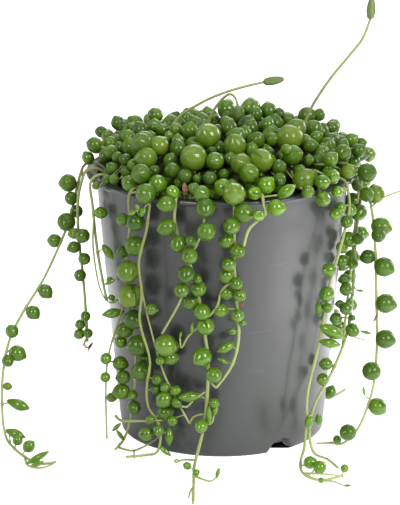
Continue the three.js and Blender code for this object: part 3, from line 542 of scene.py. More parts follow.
# %% Soil, perlite and litter
PEAT, tree, shader = new_material("peat", Roughness=0.95, Specular_IOR_Level=0.2)
peat = placed(tree, MOTTLE, Dark=rgb(0.010, 0.007, 0.004), Light=rgb(0.060, 0.038, 0.022), Scale=420.0)
crumb = placed(tree, SPECKS, Scale=500.0, Size=0.30, Share=0.12)["Mask"]
tree.links.new(mixed(tree, crumb, peat["Color"], rgb(0.12, 0.075, 0.04)), shader.inputs["Base Color"])
bump(tree, shader, peat["Height"], 0.0010, 1.0)

PERLITE, tree, shader = new_material("perlite", Roughness=0.9)
chalk = placed(tree, MOTTLE, Dark=rgb(0.42, 0.38, 0.32), Light=rgb(0.78, 0.76, 0.70), Scale=600.0)
tree.links.new(chalk["Color"], shader.inputs["Base Color"])
bump(tree, shader, chalk["Height"], 0.0004, 1.0)

# The litter is coloured near black: partly its own dark green-brown, partly painted shade for the gaps
# between the crown's leaves.
LITTER_AND_SHADE, tree, shader = new_material("litter with painted shade", Roughness=0.9, Specular_IOR_Level=0.2)
litter_and_shade = placed(tree, MOTTLE, Dark=rgb(0.006, 0.010, 0.003), Light=rgb(0.040, 0.055, 0.014), Scale=260.0)
tree.links.new(litter_and_shade["Color"], shader.inputs["Base Color"])
bump(tree, shader, litter_and_shade["Height"], 0.0012, 1.0)
print("soil finishes are ready")

# %% [markdown]
# ## The pot
#
# A thin tapered cup with a flat lip. Its profile is turned round the axis, with a small fillet at
# each corner so that the lip catches a line of light. The foot isn't a plain ring: it has three short
# notches, and over each notch an arched drain hole goes higher. They could be cut out of the cup, but
# that leaves ragged faces along the cut. So the lower edge of the wall is a function of the bearing,
# and the rows of the wall are squeezed above it.

# %% Pot sizes
_, pot_top = box_mm("pot")
POT_HEIGHT = pot_top[2]
LIP_RADIUS = pot_top[0]
BASE_RADIUS = LIP_RADIUS - 14.0
WALL_TOP_RADIUS = LIP_RADIUS - 4.1
WALL = 1.3
LIP_THICKNESS = 2.0
FLOOR_LIFT = 2.4
PAD_RADIUS = 17.0
FOOT_WIDTH = 5.0
NOTCH_BEARINGS = (33.8, 153.8, 273.8)
NOTCH_HALF = 7.0  # degrees
NOTCH_EASE = 1.5  # degrees on either side of its end
NOTCH_RISE = 2.3
DRAIN_OFFSET = 0.9  # degrees from the middle of its notch
DRAIN_HALF = 6.2  # degrees
DRAIN_HEIGHT = 3.0  # above the notch
GROOVE_HEIGHT = POT_HEIGHT - 10.5  # a shallow groove runs round the wall here
GROOVE_DEPTH = 0.22
GROOVE_HALF = 0.5
POT_COLUMNS = 360


def wall_radius(height):
    """Outer radius of the wall: it widens evenly from the base to the lip."""
    share = np.clip(height, 0, POT_HEIGHT) / POT_HEIGHT
    return BASE_RADIUS + (WALL_TOP_RADIUS - BASE_RADIUS) * share


def foot_edge(bearing):
    """Height of the lower edge: 0, raised over each notch with eased ends, and by an arch over each drain."""
    edge = np.zeros_like(bearing)
    for middle in NOTCH_BEARINGS:
        off = (bearing - middle + 180) % 360 - 180
        flank = np.clip((NOTCH_HALF + NOTCH_EASE - np.abs(off)) / (2 * NOTCH_EASE), 0, 1)
        edge = np.maximum(edge, NOTCH_RISE * flank * flank * (3 - 2 * flank))
        across = (off - DRAIN_OFFSET) / DRAIN_HALF
        arch = NOTCH_RISE + DRAIN_HEIGHT * np.sqrt(np.clip(1 - across**2, 0, 1))
        edge = np.where(np.abs(across) < 1, np.maximum(edge, arch), edge)
    return edge


print("pot", POT_HEIGHT, "high, lip radius", LIP_RADIUS)

# %% Pot surface
bearing = np.arange(POT_COLUMNS) * 360 / POT_COLUMNS
edge = foot_edge(bearing)
under = np.minimum(edge, FLOOR_LIFT)
flat = np.zeros_like(bearing)
foot_inside = BASE_RADIUS - FOOT_WIDTH
lip_under = POT_HEIGHT - LIP_THICKNESS
rows = [(0.0, flat), (8.0, flat), (PAD_RADIUS, flat), (PAD_RADIUS + 1.5, flat + FLOOR_LIFT)]
rows += [(30.0, flat + FLOOR_LIFT), (foot_inside - 1.5, flat + FLOOR_LIFT), (foot_inside - 0.3, under + 0.4)]
rows += [(foot_inside + 0.4, under), (BASE_RADIUS - WALL, edge), (BASE_RADIUS - 0.5, edge)]
for share in np.concatenate([[0.004, 0.012, 0.03], np.linspace(0.06, 0.985, 30), [1.0]]):
    height = edge + 0.3 + (lip_under - edge - 0.3) * share
    groove = GROOVE_DEPTH * np.exp(-(((height - GROOVE_HEIGHT) / GROOVE_HALF) ** 2))
    rows.append((wall_radius(height) - groove, height))
rows += [(LIP_RADIUS - 0.9, flat + lip_under), (LIP_RADIUS - 0.3, flat + lip_under + 0.15)]
rows += [(LIP_RADIUS, flat + lip_under + 0.6), (LIP_RADIUS, flat + POT_HEIGHT - 0.7)]
rows += [(LIP_RADIUS - 0.25, flat + POT_HEIGHT - 0.2), (LIP_RADIUS - 0.8, flat + POT_HEIGHT)]
rows += [(WALL_TOP_RADIUS + 0.2, flat + POT_HEIGHT), (WALL_TOP_RADIUS - 0.5, flat + POT_HEIGHT - 0.3)]
inside_top = POT_HEIGHT - 1.2
floor_top = FLOOR_LIFT + WALL
rows += [(WALL_TOP_RADIUS - WALL, flat + inside_top), (wall_radius(100.0) - WALL, flat + 100.0)]
rows += [(wall_radius(40.0) - WALL, flat + 40.0), (wall_radius(floor_top) - WALL, flat + floor_top)]
rows += [(20.0, flat + floor_top), (0.0, flat + floor_top)]
angle = np.radians(bearing)
grid = np.stack([np.stack([r * np.sin(angle), -r * np.cos(angle), z], axis=-1) for r, z in rows])
make_piece("pot_shell", [wrapped_grid(grid)], POT_PLASTIC, "pot", slot="pot")

# %% [markdown]
# ## The soil
#
# A block that fills the pot to a finger below the lip. Its top is a disc of rings whose height
# ripples, and on it lie some hundreds of crumbs and a few dozen grains of perlite. Copies of one stone
# would look alike, so each is a lump of its own with eighteen faces, squashed and turned by a seeded
# draw.

# %% Soil block
SOIL_TOP = POT_HEIGHT - 12.0
SOIL_GAP = 0.35
soil_bottom = floor_top + SOIL_GAP


def soil_radius(height):
    return wall_radius(height) - WALL - SOIL_GAP


soil_rows = [[0.0, soil_bottom], [30.0, soil_bottom], [soil_radius(soil_bottom), soil_bottom]]
soil_rows += [[soil_radius(60.0), 60.0], [soil_radius(SOIL_TOP - 2), SOIL_TOP - 2.0]]
soil_rows += [[radius, SOIL_TOP - 0.2] for radius in np.linspace(soil_radius(SOIL_TOP) - 0.8, 0.0, 34)]
soil = turned(soil_rows, 150)
top = soil["points"][:, 2] > SOIL_TOP - 1
bumps = 0.55 * ripples(soil["points"], 7.0, 3) + 0.35 * ripples(soil["points"], 2.8, 4)
soil["points"][top, 2] += np.clip(bumps[top], -1.2, 1.2)
make_piece("soil_block", [soil], PEAT, "soil", slot="soil")

# %% Crumbs and perlite
LUMP_RINGS = 4
LUMP_SIDES = 6


def lumps(spots, sizes, seed):
    """Small uneven stones: r = size * (1 + a ripple of the direction), squashed along a seeded axis."""
    draw = np.random.default_rng(seed)
    parts = []
    polar = np.linspace(0, math.pi, LUMP_RINGS)[:, None]
    turn = np.arange(LUMP_SIDES) / LUMP_SIDES * TAU
    ball = [np.sin(polar) * np.cos(turn), np.sin(polar) * np.sin(turn), -np.cos(polar) + 0 * turn]
    ball = np.stack(ball, axis=-1)
    for spot, size in zip(spots, sizes):
        axes = np.linalg.qr(draw.normal(size=(3, 3)))[0]
        axes[:, 2] *= np.sign(np.linalg.det(axes))
        squash = draw.uniform(0.55, 1.1, 3)
        rough = 1 + 0.22 * ripples(ball, 1.4, int(draw.integers(1_000_000)))[..., None]
        parts.append(wrapped_grid((ball * rough * squash) @ axes.T * size + spot))
    return parts


CRUMBS = 380
GRAINS = 40  # of perlite
STREWN_FROM = 28.0  # further in, the crown hides the soil
draw = np.random.default_rng(21)
count = CRUMBS + GRAINS
radius = np.sqrt(draw.uniform(STREWN_FROM**2, (soil_radius(SOIL_TOP) - 2.2) ** 2, count))
turn = draw.uniform(0, TAU, count)
sizes = draw.uniform(0.5, 1.9, count) * draw.uniform(0.6, 1.0, count)
spots = np.stack([radius * np.sin(turn), -radius * np.cos(turn), SOIL_TOP + 0.35 * sizes], axis=-1)
crumbs = lumps(spots[:CRUMBS], sizes[:CRUMBS], 22)
grains = lumps(spots[CRUMBS:], sizes[CRUMBS:] * 0.75, 23)
make_piece("soil_crumbs", crumbs, PEAT, "soil", slot="soil", smooth=False)
make_piece("soil_perlite", grains, PERLITE, "soil", slot="soil", smooth=False)

# %% [markdown]
# ## Where the stems run
#
# Every strand roots in the soil, climbs over the lip and hangs down by its own route. The routes are
# a maker's list of knots, from below the lip to the tip. At the front each leaf is listed one by one
# too: the list says where it shows beside its stem and how large it is, and its depth follows from
# the stem that it sits against. drops are the long young leaves, with the way that they point, and
# free are those on the lip and on the floor, which need all three numbers. A rule could place them
# all, but the eye knows this plant by its few fat leaves and its gaps.

# %% How a strand begins
CLIMB = ((47, 100), (48.3, 111), (51.5, 118.6), (56, 121.5), (60.4, 120.9), (62.3, 117.4))
STEM_RADIUS = 0.68  # of every strand that doesn't give its own as thick
GOLDEN_SHARE = 0.618  # of a turn, from one leaf to the next
print("a strand roots at radius", CLIMB[0][0], "and clears the lip at", CLIMB[-1][0])

# %% Strands at the left
# route and branch, a side stem, are (x, y, z). pearls and behind are (x, z, radius), and a pearl may
# have an age of its own after them. drops are (x, z, radius, way x, way z), and free (x, y, z, radius).
# ages is how young the leaves look at lip and tip, from 0 to 1, and stem_ages the same for the stem.
# woody is how brown the stem is where it starts.
LEFT_STRANDS = [
    dict(
        name="strand_far_left",
        route=[(-64.5, -2, 109), (-67.5, -7, 97), (-72, -11, 86), (-79, -16, 72), (-88, -20, 58),
               (-94, -23, 46), (-97, -26, 31), (-97.5, -28, 14), (-96, -31, 4), (-92, -38, 1.3),
               (-86, -49, 1.3), (-79, -57, 1.3), (-72, -55, 1.3)],
        thick=0.62,
        pearls=[(-68, 112.5, 3.7), (-66.5, 106.5, 2.9), (-68.5, 97, 3.9), (-78, 67, 3), (-83.5, 58, 3),
                (-92.5, 51, 2.9), (-90.5, 40.5, 3.4), (-94.5, 38, 2.6), (-95, 26, 1.7)],
        behind=[(-74, 88, 3), (-64.5, 100, 2.8)],
        drops=[(-90, 17.5, 3.1, 1, -0.3), (-91, 6.5, 2.7, 1, -0.3)],
        free=[(-90, -38, 4.8, 2.2), (-84.5, -46, 5, 2.6), (-59, -2, 124, 2.6)],
        ages=(0.10, 0.55),
    ),
    dict(
        name="strand_left_short",
        route=[(-63, -13.5, 108), (-63, -15, 92), (-61.5, -15, 75), (-60.5, -15, 58), (-60, -15, 43)],
        pearls=[(-61, 92.5, 3.1), (-65, 87, 2.6), (-60.5, 82, 2.6), (-62.5, 74.5, 2.6), (-60.5, 55.5, 2.2),
                (-63, 51, 2.2), (-63.5, 46.5, 2.3), (-59.5, 47.5, 2)],
        behind=[(-65, 92.5, 2.4)],
        ages=(0.15, 0.45),
    ),
    dict(
        name="strand_left_wisp",
        route=[(-56, -24.8, 108), (-54.5, -24.5, 90), (-52.5, -24.5, 76), (-50.5, -24.5, 65)],
        pearls=[(-52.5, 105, 2.6, 0.68), (-49, 74.5, 1.4), (-48.5, 66.5, 1.3)],
        drops=[(-49.5, 87, 2.4, 0.6, -0.8)],
        ages=(0.7, 1.0),
    ),
    dict(
        name="strand_big_pearls",
        route=[(-39, -48, 106), (-40.5, -45, 90), (-40.5, -42, 72), (-38.5, -41, 56), (-37.5, -41, 40),
               (-39, -38.5, 24), (-41, -36, 11), (-44, -34.5, 3), (-47, -40, 1.3)],
        thick=0.62,
        woody=0.25,
        pearls=[(-36.5, 108, 3.5), (-37, 97, 3.8), (-40, 85.5, 4.2), (-39, 74, 4.6), (-38, 63, 3.8),
                (-36.5, 51, 3.9), (-34, 44.5, 1.9), (-35, 39, 3.7), (-50.5, 43.5, 2.2, 0.68),
                (-51, 34.5, 2, 0.68), (-43, 35, 2.7), (-44, 28, 3.2), (-39, 27, 2), (-38.5, 21, 2.7),
                (-48.5, 24, 1.9)],
        behind=[(-42, 108.5, 2.3), (-42.5, 93.5, 2.2), (-42, 57, 3), (-44, 51, 2.4), (-44.5, 40.5, 2.9)],
        drops=[(-47.5, 64.5, 2.6, -1, -0.1)],
        free=[(-31.8, -55.5, 121.6, 3.7), (-39, -43.5, 123, 3), (-34, -52, 112.5, 1.7)],
        branch=[(-40.5, -42.3, 74), (-45, -40.5, 60), (-49.5, -38, 44), (-51, -36, 28), (-51, -34, 4)],
        ages=(0.05, 0.30),
    ),
    dict(
        name="strand_forked",
        route=[(-31.5, -56.5, 107), (-35, -55.5, 92), (-34, -54.5, 78), (-35, -52.5, 64), (-31, -51.5, 47),
               (-32.5, -48, 34), (-32, -46.8, 24), (-27, -49, 15), (-28, -49, 4), (-34, -47, 1.3),
               (-42, -49, 1.3)],
        thick=0.62,
        woody=0.3,
        stem_ages=(0.0, 0.7),
        pearls=[(-30, 70.5, 2.3), (-24, 53.5, 4.3), (-26.5, 47, 1.8), (-28, 37, 2.1), (-24.5, 34, 1.8),
                (-20, 33, 2.1), (-25, 28.5, 3.2), (-24.5, 21.5, 3.1), (-21.5, 19, 1.9), (-19.5, 28, 2.1),
                (-33, 12, 2.6), (-27.5, 14.5, 2.3), (-31, 18.5, 1.9)],
        behind=[(-22, 47.5, 2.7), (-28.5, 32, 2)],
        drops=[(-23, 10.5, 2.3, 0, -1)],
        free=[(-27, -50.5, 124.5, 3.5)],
        branch=[(-34, -54.5, 79), (-31.5, -53, 66), (-26.5, -51, 45), (-21.5, -50.5, 32), (-14, -52.5, 18)],
        ages=(0.10, 0.50),
    ),
]
print(len(LEFT_STRANDS), "strands hang at the left")

# %% Strands in the middle
MIDDLE_STRANDS = [
    dict(
        name="strand_centre_long",
        route=[(-19.5, -58.8, 108), (-15, -58, 96), (-11, -57, 82), (-8, -56, 64), (-6, -55.5, 48),
               (-6.5, -54, 30), (-8.5, -53, 14), (-11, -55, 4), (-12, -62, 1.3), (-12, -82, 1.3),
               (-12, -101, 1.3)],
        thick=0.74,
        pearls=[(-23, 118, 3.2), (-23, 108, 3.4), (-18, 101.5, 3.3), (-10, 81.5, 3.1), (-13.5, 74.5, 3),
                (-8.5, 71, 3.1), (-7, 64.5, 3.3), (-8.5, 50.5, 3.6), (-3.5, 42, 3.1), (-3.5, 28, 1.9),
                (-9, 18, 2.6)],
        drops=[(-14, 31, 3, -1, 0)],
        free=[(-11, -70, 2.2, 1.3), (-15, -64, 3, 1.5), (-20.5, -58, 123, 2.6)],
        ages=(0.15, 0.95),
    ),
    dict(
        name="strand_centre_left",
        route=[(-8, -66.5, 109), (-12.5, -65, 98), (-16, -63.5, 87), (-17.5, -62, 77), (-25.5, -58.5, 61)],
        thick=0.55,
        stem_ages=(0.2, 0.45),
        pearls=[(-7, 118, 3.7), (-6.5, 109, 3.3), (-13.5, 98, 3.1), (-15, 90, 3.3), (-17, 82.5, 2.9)],
        behind=[(-12.5, 103.5, 2.3), (-10.5, 87, 1.7)],
        free=[(-8.5, -62, 123.3, 3.2), (-11.5, -58, 124.5, 2.2)],
        ages=(0.10, 0.30),
    ),
    dict(
        name="strand_front",
        route=[(5.2, -63, 110), (5, -61, 93), (6.5, -59, 72), (7, -58, 58), (4, -57.5, 46),
               (-2.5, -59.5, 37)],
        pearls=[(9, 115, 3.6), (4, 110.5, 3.2), (2, 103, 2.8), (6.5, 99, 2.8), (3, 93, 2.7), (2, 87.5, 3),
                (6, 84.5, 2.5), (7.5, 79, 2.4), (-0.5, 71.5, 2.6), (6.5, 70, 2.5), (8.5, 66, 1.5),
                (4.5, 62, 1.4)],
        behind=[(2, 79.5, 2.6)],
        drops=[(1.5, 54.5, 2.6, -0.9, -0.4), (0.5, 48.5, 1.6, -0.9, 0.5)],
        free=[(5, -63, 123.5, 4.2), (0.5, -56.5, 124.5, 3.4)],
        ages=(0.10, 0.60),
    ),
    dict(
        name="strand_front_short",
        route=[(18, -62, 114.5), (11.5, -65.5, 109.5), (9, -66.5, 102)],
        pearls=[(15, 114.5, 3), (22.5, 117, 3.4)],
        drops=[(27, 123.5, 3, 0.8, 0.6)],
        free=[(18.5, -54.5, 125, 3.5), (13.5, -58, 122.5, 2.7)],
        ages=(0.85, 1.0),
    ),
]
print(len(MIDDLE_STRANDS), "strands hang in the middle")

# %% Strands at the right
RIGHT_STRANDS = [
    dict(
        name="strand_right_crossing",
        route=[(54.5, -31.5, 108), (51, -36, 93), (46.5, -40, 78), (44, -41, 62), (41, -41.5, 46),
               (37.3, -42.5, 29), (37, -42, 14), (36, -45, 4), (34, -56, 1.3), (35, -69, 1.3),
               (42, -76, 1.3), (51.5, -71, 1.3)],
        pearls=[(53.5, 104, 2.7), (46, 84, 3), (45, 74, 3.2), (45.5, 67.5, 2.1), (48, 56, 3.4, 0.69)],
        drops=[(42, 67, 2.4, 0, 1), (47, 51, 2.6, 1, -0.1), (38, 16, 2.3, 0.1, 1)],
        free=[(38, -60, 3, 2.6), (42, -66, 3.2, 2.8), (42, -79, 2.4, 1.3), (52.5, -68, 3.4, 1.8),
              (45.5, -32, 124.5, 2.9), (49, -36, 117, 2.5), (50.5, -35, 110, 2.5), (55.5, -26, 106.5, 2.5),
              (48.5, -38, 108, 2.5)],
        ages=(0.20, 0.85),
    ),
    dict(
        name="strand_right_inner",
        route=[(60.5, -14, 108), (58.5, -16.5, 90), (57.8, -18.5, 70), (55.5, -21, 50), (49, -27.5, 34),
               (40.8, -36, 21), (38.4, -40.8, 11), (40, -45.5, 2.2), (46, -52, 1.3), (50, -62, 1.3)],
        pearls=[(59.5, 103.5, 3.6), (55.5, 91, 3.3), (59.5, 91.5, 2.5), (57.5, 80.5, 2.4), (54.5, 68.5, 2.8),
                (54.5, 60.5, 2.8), (57.5, 56, 1.3), (57.5, 51, 3), (46, 36.5, 2.7), (44.5, 31, 2.7)],
        behind=[(52.5, 87, 2.6), (53, 81, 2.8), (54, 73, 2.4), (52, 62, 1.8), (50.5, 55.5, 2.6)],
        drops=[(42.5, 15, 2, 0, 1)],
        free=[(57.5, -12, 124.5, 2.8), (60.5, -17, 113, 2.9)],
        ages=(0.10, 0.60),
    ),
    dict(
        name="strand_far_right",
        route=[(64, -22, 110), (66.5, -25, 92), (67.5, -28, 66), (68, -30, 46), (66.5, -33, 28),
               (61, -35, 11), (54, -34, 2), (48.5, -32, 1.3)],
        pearls=[(62.5, 113, 3.2), (69, 99, 3.9), (67.5, 95.5, 3.1), (63.5, 85.5, 3.1),
                (70.5, 81.5, 4.1), (71.5, 65, 4.1), (71.5, 49.5, 4), (65.5, 36, 3.9), (68.5, 19, 3.7),
                (55.5, 8, 3.5), (51, 3.4, 1.8)],
        behind=[(66.5, 112.5, 3.9)],
        free=[(62.5, -22, 122, 3.9), (54, -19, 124.5, 2.6)],
        branch=[(64.6, -22.6, 107), (70, -25, 112), (79.5, -26, 116)],
        ages=(0.05, 0.15),
    ),
]
print(len(RIGHT_STRANDS), "strands hang at the right")

# %% [markdown]
# ## A line that can be asked for places
#
# The knots are joined by straight stretches, and a place on the line is found by its share of the
# length. The share is measured along two hundred chords, the way the frame's own line is, so that
# the leaves here sit where the plain solids have theirs, apart from a few that were moved.

# %% Knotted lines


def around(bearing, radius, height):
    """A point at a bearing in degrees round the pot, from the front towards +X."""
    turn = math.radians(bearing)
    return np.array([radius * math.sin(turn), -radius * math.cos(turn), height])


class KnottedLine:
    """Straight stretches from knot to knot, asked for points by share of its length."""

    def __init__(self, knots):
        self.knots = np.array(knots, float)
        steps = np.linalg.norm(np.diff(self.knots, axis=0), axis=1)
        self.reached = np.concatenate([[0], np.cumsum(steps)])
        self.length = self.reached[-1]
        self.shares = np.linspace(0, 1, 201)
        chords = np.linalg.norm(np.diff(self.rough(self.shares), axis=0), axis=1)
        self.chorded = np.concatenate([[0], np.cumsum(chords)])

    def rough(self, share):
        """Points at shares of the true length: each coordinate is linear between the knots."""
        length = np.asarray(share) * self.length
        return np.stack([np.interp(length, self.reached, self.knots[:, axis]) for axis in range(3)], axis=-1)

    def even(self, share):
        """The shares of the true length that belong to shares of the chords."""
        return np.interp(np.asarray(share) * self.chorded[-1], self.chorded, self.shares)

    def at(self, share):
        return self.rough(self.even(share))

    def tangent(self, share):
        middle = self.even(share)
        step = 0.0001
        low, high = np.maximum(middle - step, 0), np.minimum(middle + step, 1)
        return unit(self.rough(high) - self.rough(low))


def strand_line(route):
    """Up from the soil and over the lip at the bearing of the first knot, then along the route."""
    x, y, _ = route[0]
    bearing = math.degrees(math.atan2(x, -y))
    climb = [around(bearing, radius, height) for radius, height in CLIMB]
    return KnottedLine(climb + [np.array(knot) for knot in route])


lengths = [strand_line(strand["route"]).length for strand in LEFT_STRANDS]
print("the stems at the left are", [round(length) for length in lengths], "mm long")

# %% Seeded draws


def drawer(seed):
    """A seeded draw of numbers from 0 to 1: a counter whose bits are mixed by shifts and products."""
    whole = 0xFFFFFFFF
    state = seed & whole

    def draw():
        nonlocal state
        state = (state + 0x6D2B79F5) & whole
        t = state
        t = ((t ^ (t >> 15)) * (t | 1)) & whole
        t ^= (t + (((t ^ (t >> 7)) * (t | 61)) & whole)) & whole
        return ((t ^ (t >> 14)) & whole) / (whole + 1)

    return draw


def mix(first, last, share):
    return first + (last - first) * share


print("first draws of seed 11:", [round(d(), 4) for d in [drawer(11)] for _ in range(3)])

# %% [markdown]
# ## The strands nobody placed by hand
#
# Round the back and the sides the strands follow a rule instead: each hangs down the wall at its
# bearing, sways a little, and runs out on the floor if it is long enough. Lists like those at the
# front would do as well, but these strands only need to differ from each other.

# %% Routes of the strands at the back
HANG_FROM = 109  # the height at which a strand has left the lip
LOWEST_HANG = 8  # and the least at which it turns to run along the floor
BEND_EVERY = 17  # about so far down to the next knot
# bearing, lowest point, and length on the floor
BACK_RULES = [(97, 34, 0), (116, 1.3, 14), (135, 58, 0), (154, 16, 0), (173, 1.3, 26), (192, 44, 0),
              (211, 1.3, 8), (230, 62, 0)]


def hanging_route(bearing, lowest, on_floor, draw):
    """Knots down the wall: the bearing swings by a sine of the way down."""
    sway = 6 * (draw() - 0.5)
    phase = draw()
    clear = 5.5 + 2 * draw()
    hangs = HANG_FROM - max(lowest, LOWEST_HANG)
    bends = max(3, math.floor(hangs / BEND_EVERY + 0.5))
    route = []
    for i in range(bends + 1):
        height = HANG_FROM - hangs * i / bends
        swing = sway * math.sin(TAU * (phase + 0.8 * i / bends))
        route.append(around(bearing + swing, wall_radius(height) + clear, height))
    if on_floor > 0:
        foot = wall_radius(0) + clear + 4
        last = bearing + sway
        route += [around(last, foot, 1.5), around(last + 2, foot + on_floor / 2, 1.3)]
        route += [around(last + 5, foot + on_floor, 1.3)]
    return route


back_draw = drawer(11)
STRANDS = LEFT_STRANDS + MIDDLE_STRANDS + RIGHT_STRANDS
for number, rule in enumerate(BACK_RULES):
    route = hanging_route(*rule, back_draw)
    growth = dict(bare=(5, 2), gap=(12, 15), size=(mix(3.4, 4.2, back_draw()), 2.7), seed=40 + number)
    STRANDS.append(dict(name=f"strand_back_{number + 1}", route=route, growth=growth, ages=(0.1, 0.6)))
print(len(STRANDS), "strands with the ones at the back")

# %% Short shoots of the crown
# they reach over the lip between the strands: bearing, how far from the axis, and height of the tip
SHOOTS = [(41, 63, 116), (50, 62, 122), (69, 63, 124), (86, 66, 128), (105, 61, 125), (125, 61, 125),
          (144, 61, 124), (163, 61, 124), (182, 62, 123), (201, 61, 125), (221, 61, 123), (240, 60, 124),
          (262, 55, 125)]
CROWN_RADIUS = 50.5
CROWN_SHOULDER = SOIL_TOP + 18.6
CROWN_TOP = SOIL_TOP + 28.5
BEFORE_LIP = 123  # the least heights of a shoot before the lip and over it
OVER_LIP = 122.8


def shoot_line(bearing, reach, droop):
    """A shoot leaves the crown, arches over the lip and droops past it."""
    return KnottedLine([
        around(bearing, CROWN_RADIUS - 5, CROWN_SHOULDER),
        around(bearing, CROWN_RADIUS + 3, mix(CROWN_SHOULDER + 2, max(droop, BEFORE_LIP), 0.4)),
        around(bearing + 1, mix(CROWN_RADIUS + 3, reach, 0.65), max(droop + 1, OVER_LIP)),
        around(bearing + 2, reach, droop),
    ])


print(len(SHOOTS), "short shoots")

# %% Flower stalks
STALKS = [
    dict(name="flower_stalk_tall",
         route=[(31.5, 11.5, 120), (38, 10.5, 140), (43, 9, 150), (49, 8, 159), (56, 7, 168),
                (61.5, 6.3, 175.5), (64.6, 6, 184)],
         bud=dict(length=9.5, radius=1.9, towards=(0.06, 0, 1))),
    dict(name="flower_stalk_leaning",
         route=[(-28, 2, 124), (-20, 0, 140.5), (-10, -1.5, 148), (0, -3, 153), (10, -4, 156.3),
                (18, -5, 158.4)],
         bud=dict(length=9, radius=1.9, towards=(1, 0, 0.16))),
    dict(name="flower_stalk_nodding",
         route=[(-8, 8, 127), (-6, 6, 138), (-3, 4, 145), (1, 3, 150), (3.7, 2.3, 151.6), (6, 1, 150),
                (6.8, 0.4, 147)],
         bud=dict(length=6, radius=1.3, towards=(0.05, 0, -1))),
]
print(len(STALKS), "flower stalks")

# %% [markdown]
# ## Where a leaf may sit
#
# A leaf is allowed where it keeps clear of the pot, the floor, the other stems and the leaves that
# are there already. The record of what has grown is kept in plain arrays, so that one question is
# one subtraction of all rows at once.

# %% The record of stems and leaves
GAP = 0.35  # the air that a leaf keeps to the pot and to other strands
STEM_ROOM = 0.85  # radius that other leaves keep clear of round a stem
STALK_ROOM = 0.65  # and round a flower stalk
SWELL = 1.07  # how far a corner of a plain leaf stands out, in leaf radii
TIP_AT = 1.05  # how far from its middle the tip of a leaf is tested, in leaf radii
TIP_SIZE = 0.25  # and as how large a ball
CLOSENESS = 1.03  # how near leaves of one strand may stand, in sums of their radii
PRESSED = 0.88  # and those placed by hand
MOST_LEAVES = 4000

owner_numbers = {}
stem_points, stem_radii, stem_owners = np.zeros((0, 3)), np.zeros(0), np.zeros(0, int)
leaf_centres = np.zeros((MOST_LEAVES, 3))
leaf_sizes = np.zeros(MOST_LEAVES)
leaf_owners = np.zeros(MOST_LEAVES, int)
leaves = []  # each leaf as a dict: owner, centre, axis, size, youth, foot and more


def number_of(owner):
    return owner_numbers.setdefault(owner, len(owner_numbers))


def note_stem_point(owner, point, radius):
    """Remember a point of a stem or a stalk."""
    global stem_points, stem_radii, stem_owners
    stem_points = np.concatenate([stem_points, [point]])
    stem_radii = np.append(stem_radii, radius)
    stem_owners = np.append(stem_owners, number_of(owner))


def note_stem(owner, line, radius):
    """Remember a stem as a point each 2 mm."""
    count = max(2, math.floor(line.length / 2 + 0.5))
    for point in line.at(np.arange(count + 1) / count):
        note_stem_point(owner, point, radius)


print("room for", MOST_LEAVES, "leaves")

# %% Is there room


def clear_of_pot(p, size):
    """True if a ball keeps clear of the pot, its lip, the soil and the floor."""
    r = SWELL * size
    radius = math.hypot(p[0], p[1])
    if p[2] - r < 0.2:
        return False
    near_lip = min(max(radius, WALL_TOP_RADIUS - 1), LIP_RADIUS)
    lip_distance = math.hypot(radius - near_lip, p[2] - (POT_HEIGHT - LIP_THICKNESS / 2))
    if lip_distance < r + LIP_THICKNESS / 2 + GAP:
        return False
    if p[2] > POT_HEIGHT:
        return True
    if radius > wall_radius(p[2]):
        return radius - r > wall_radius(p[2]) + GAP
    return radius + r < wall_radius(p[2]) - WALL - GAP and p[2] - r > SOIL_TOP + 1


def clear_of_plant(p, size, owner, closeness):
    """True if a ball keeps clear of other strands' stems and of every leaf.

    closeness says how near the leaves of its own strand may be, as a share of the sum of the radii.
    """
    mine = number_of(owner)
    need = SWELL * size + stem_radii + GAP
    distance = ((stem_points - p) ** 2).sum(axis=1)
    if np.any((distance < need**2) & (stem_owners != mine)):
        return False
    grown = len(leaves)
    both = size + leaf_sizes[:grown]
    need = np.where(leaf_owners[:grown] == mine, both * closeness, both * SWELL + GAP)
    distance = ((leaf_centres[:grown] - p) ** 2).sum(axis=1)
    return not np.any(distance < need**2)


def foot_balls(foot, centre, size):
    """Balls each 2 mm or so along the foot of a leaf that stands off its stem, as (point, radius)."""
    reach = float(np.linalg.norm(centre - foot))
    if reach <= size * 0.9 + 0.4:
        return []
    count = math.floor((reach - size) / 2) + 1
    shares = [(i + 0.5) * (reach - size) / count / reach for i in range(count)]
    return [(foot + (centre - foot) * share, 0.3 + 0.7 * size * share) for share in shares]


def may_grow(centre, axis, size, owner, closeness=CLOSENESS):
    """True if a leaf finds room: its ball and its tip keep clear of everything."""
    tip = centre + axis * size * TIP_AT
    return (
        clear_of_pot(centre, size)
        and clear_of_pot(tip, size * TIP_SIZE)
        and clear_of_plant(centre, size, owner, closeness)
        and clear_of_plant(tip, size * TIP_SIZE, owner, closeness)
    )


def note_leaf(owner, centre, axis, size, youth, foot, **more):
    """Remember a leaf. foot is where its stalk leaves the stem."""
    number = len(leaves)
    leaf_centres[number] = centre
    leaf_sizes[number] = size
    leaf_owners[number] = number_of(owner)
    leaves.append(dict(owner=owner, centre=centre, axis=axis, size=size, youth=youth, foot=foot, **more))


print("the tip of a leaf is tested", TIP_AT, "radii from its middle")

# %% [markdown]
# ## Seating the leaves
#
# A listed leaf is told only where it shows from the front. It leans against the nearest
# stretch of its stem: in front of it, behind it, or beside it on a stalk of its own. Where something
# is in the way it moves out towards the front. Round the back, where no leaf is listed, they
# follow each other round the stem by the golden share of a turn, as on a real plant.

# %% Listed leaves
LIP_AT = 24  # how far along a strand's stem the top of the lip is
FRONTWARDS = (0.0, -0.955, 0.297)  # towards the front and a little up
MOST_STEPS = 14  # how often a leaf may step outwards to find room
STEP = 0.5


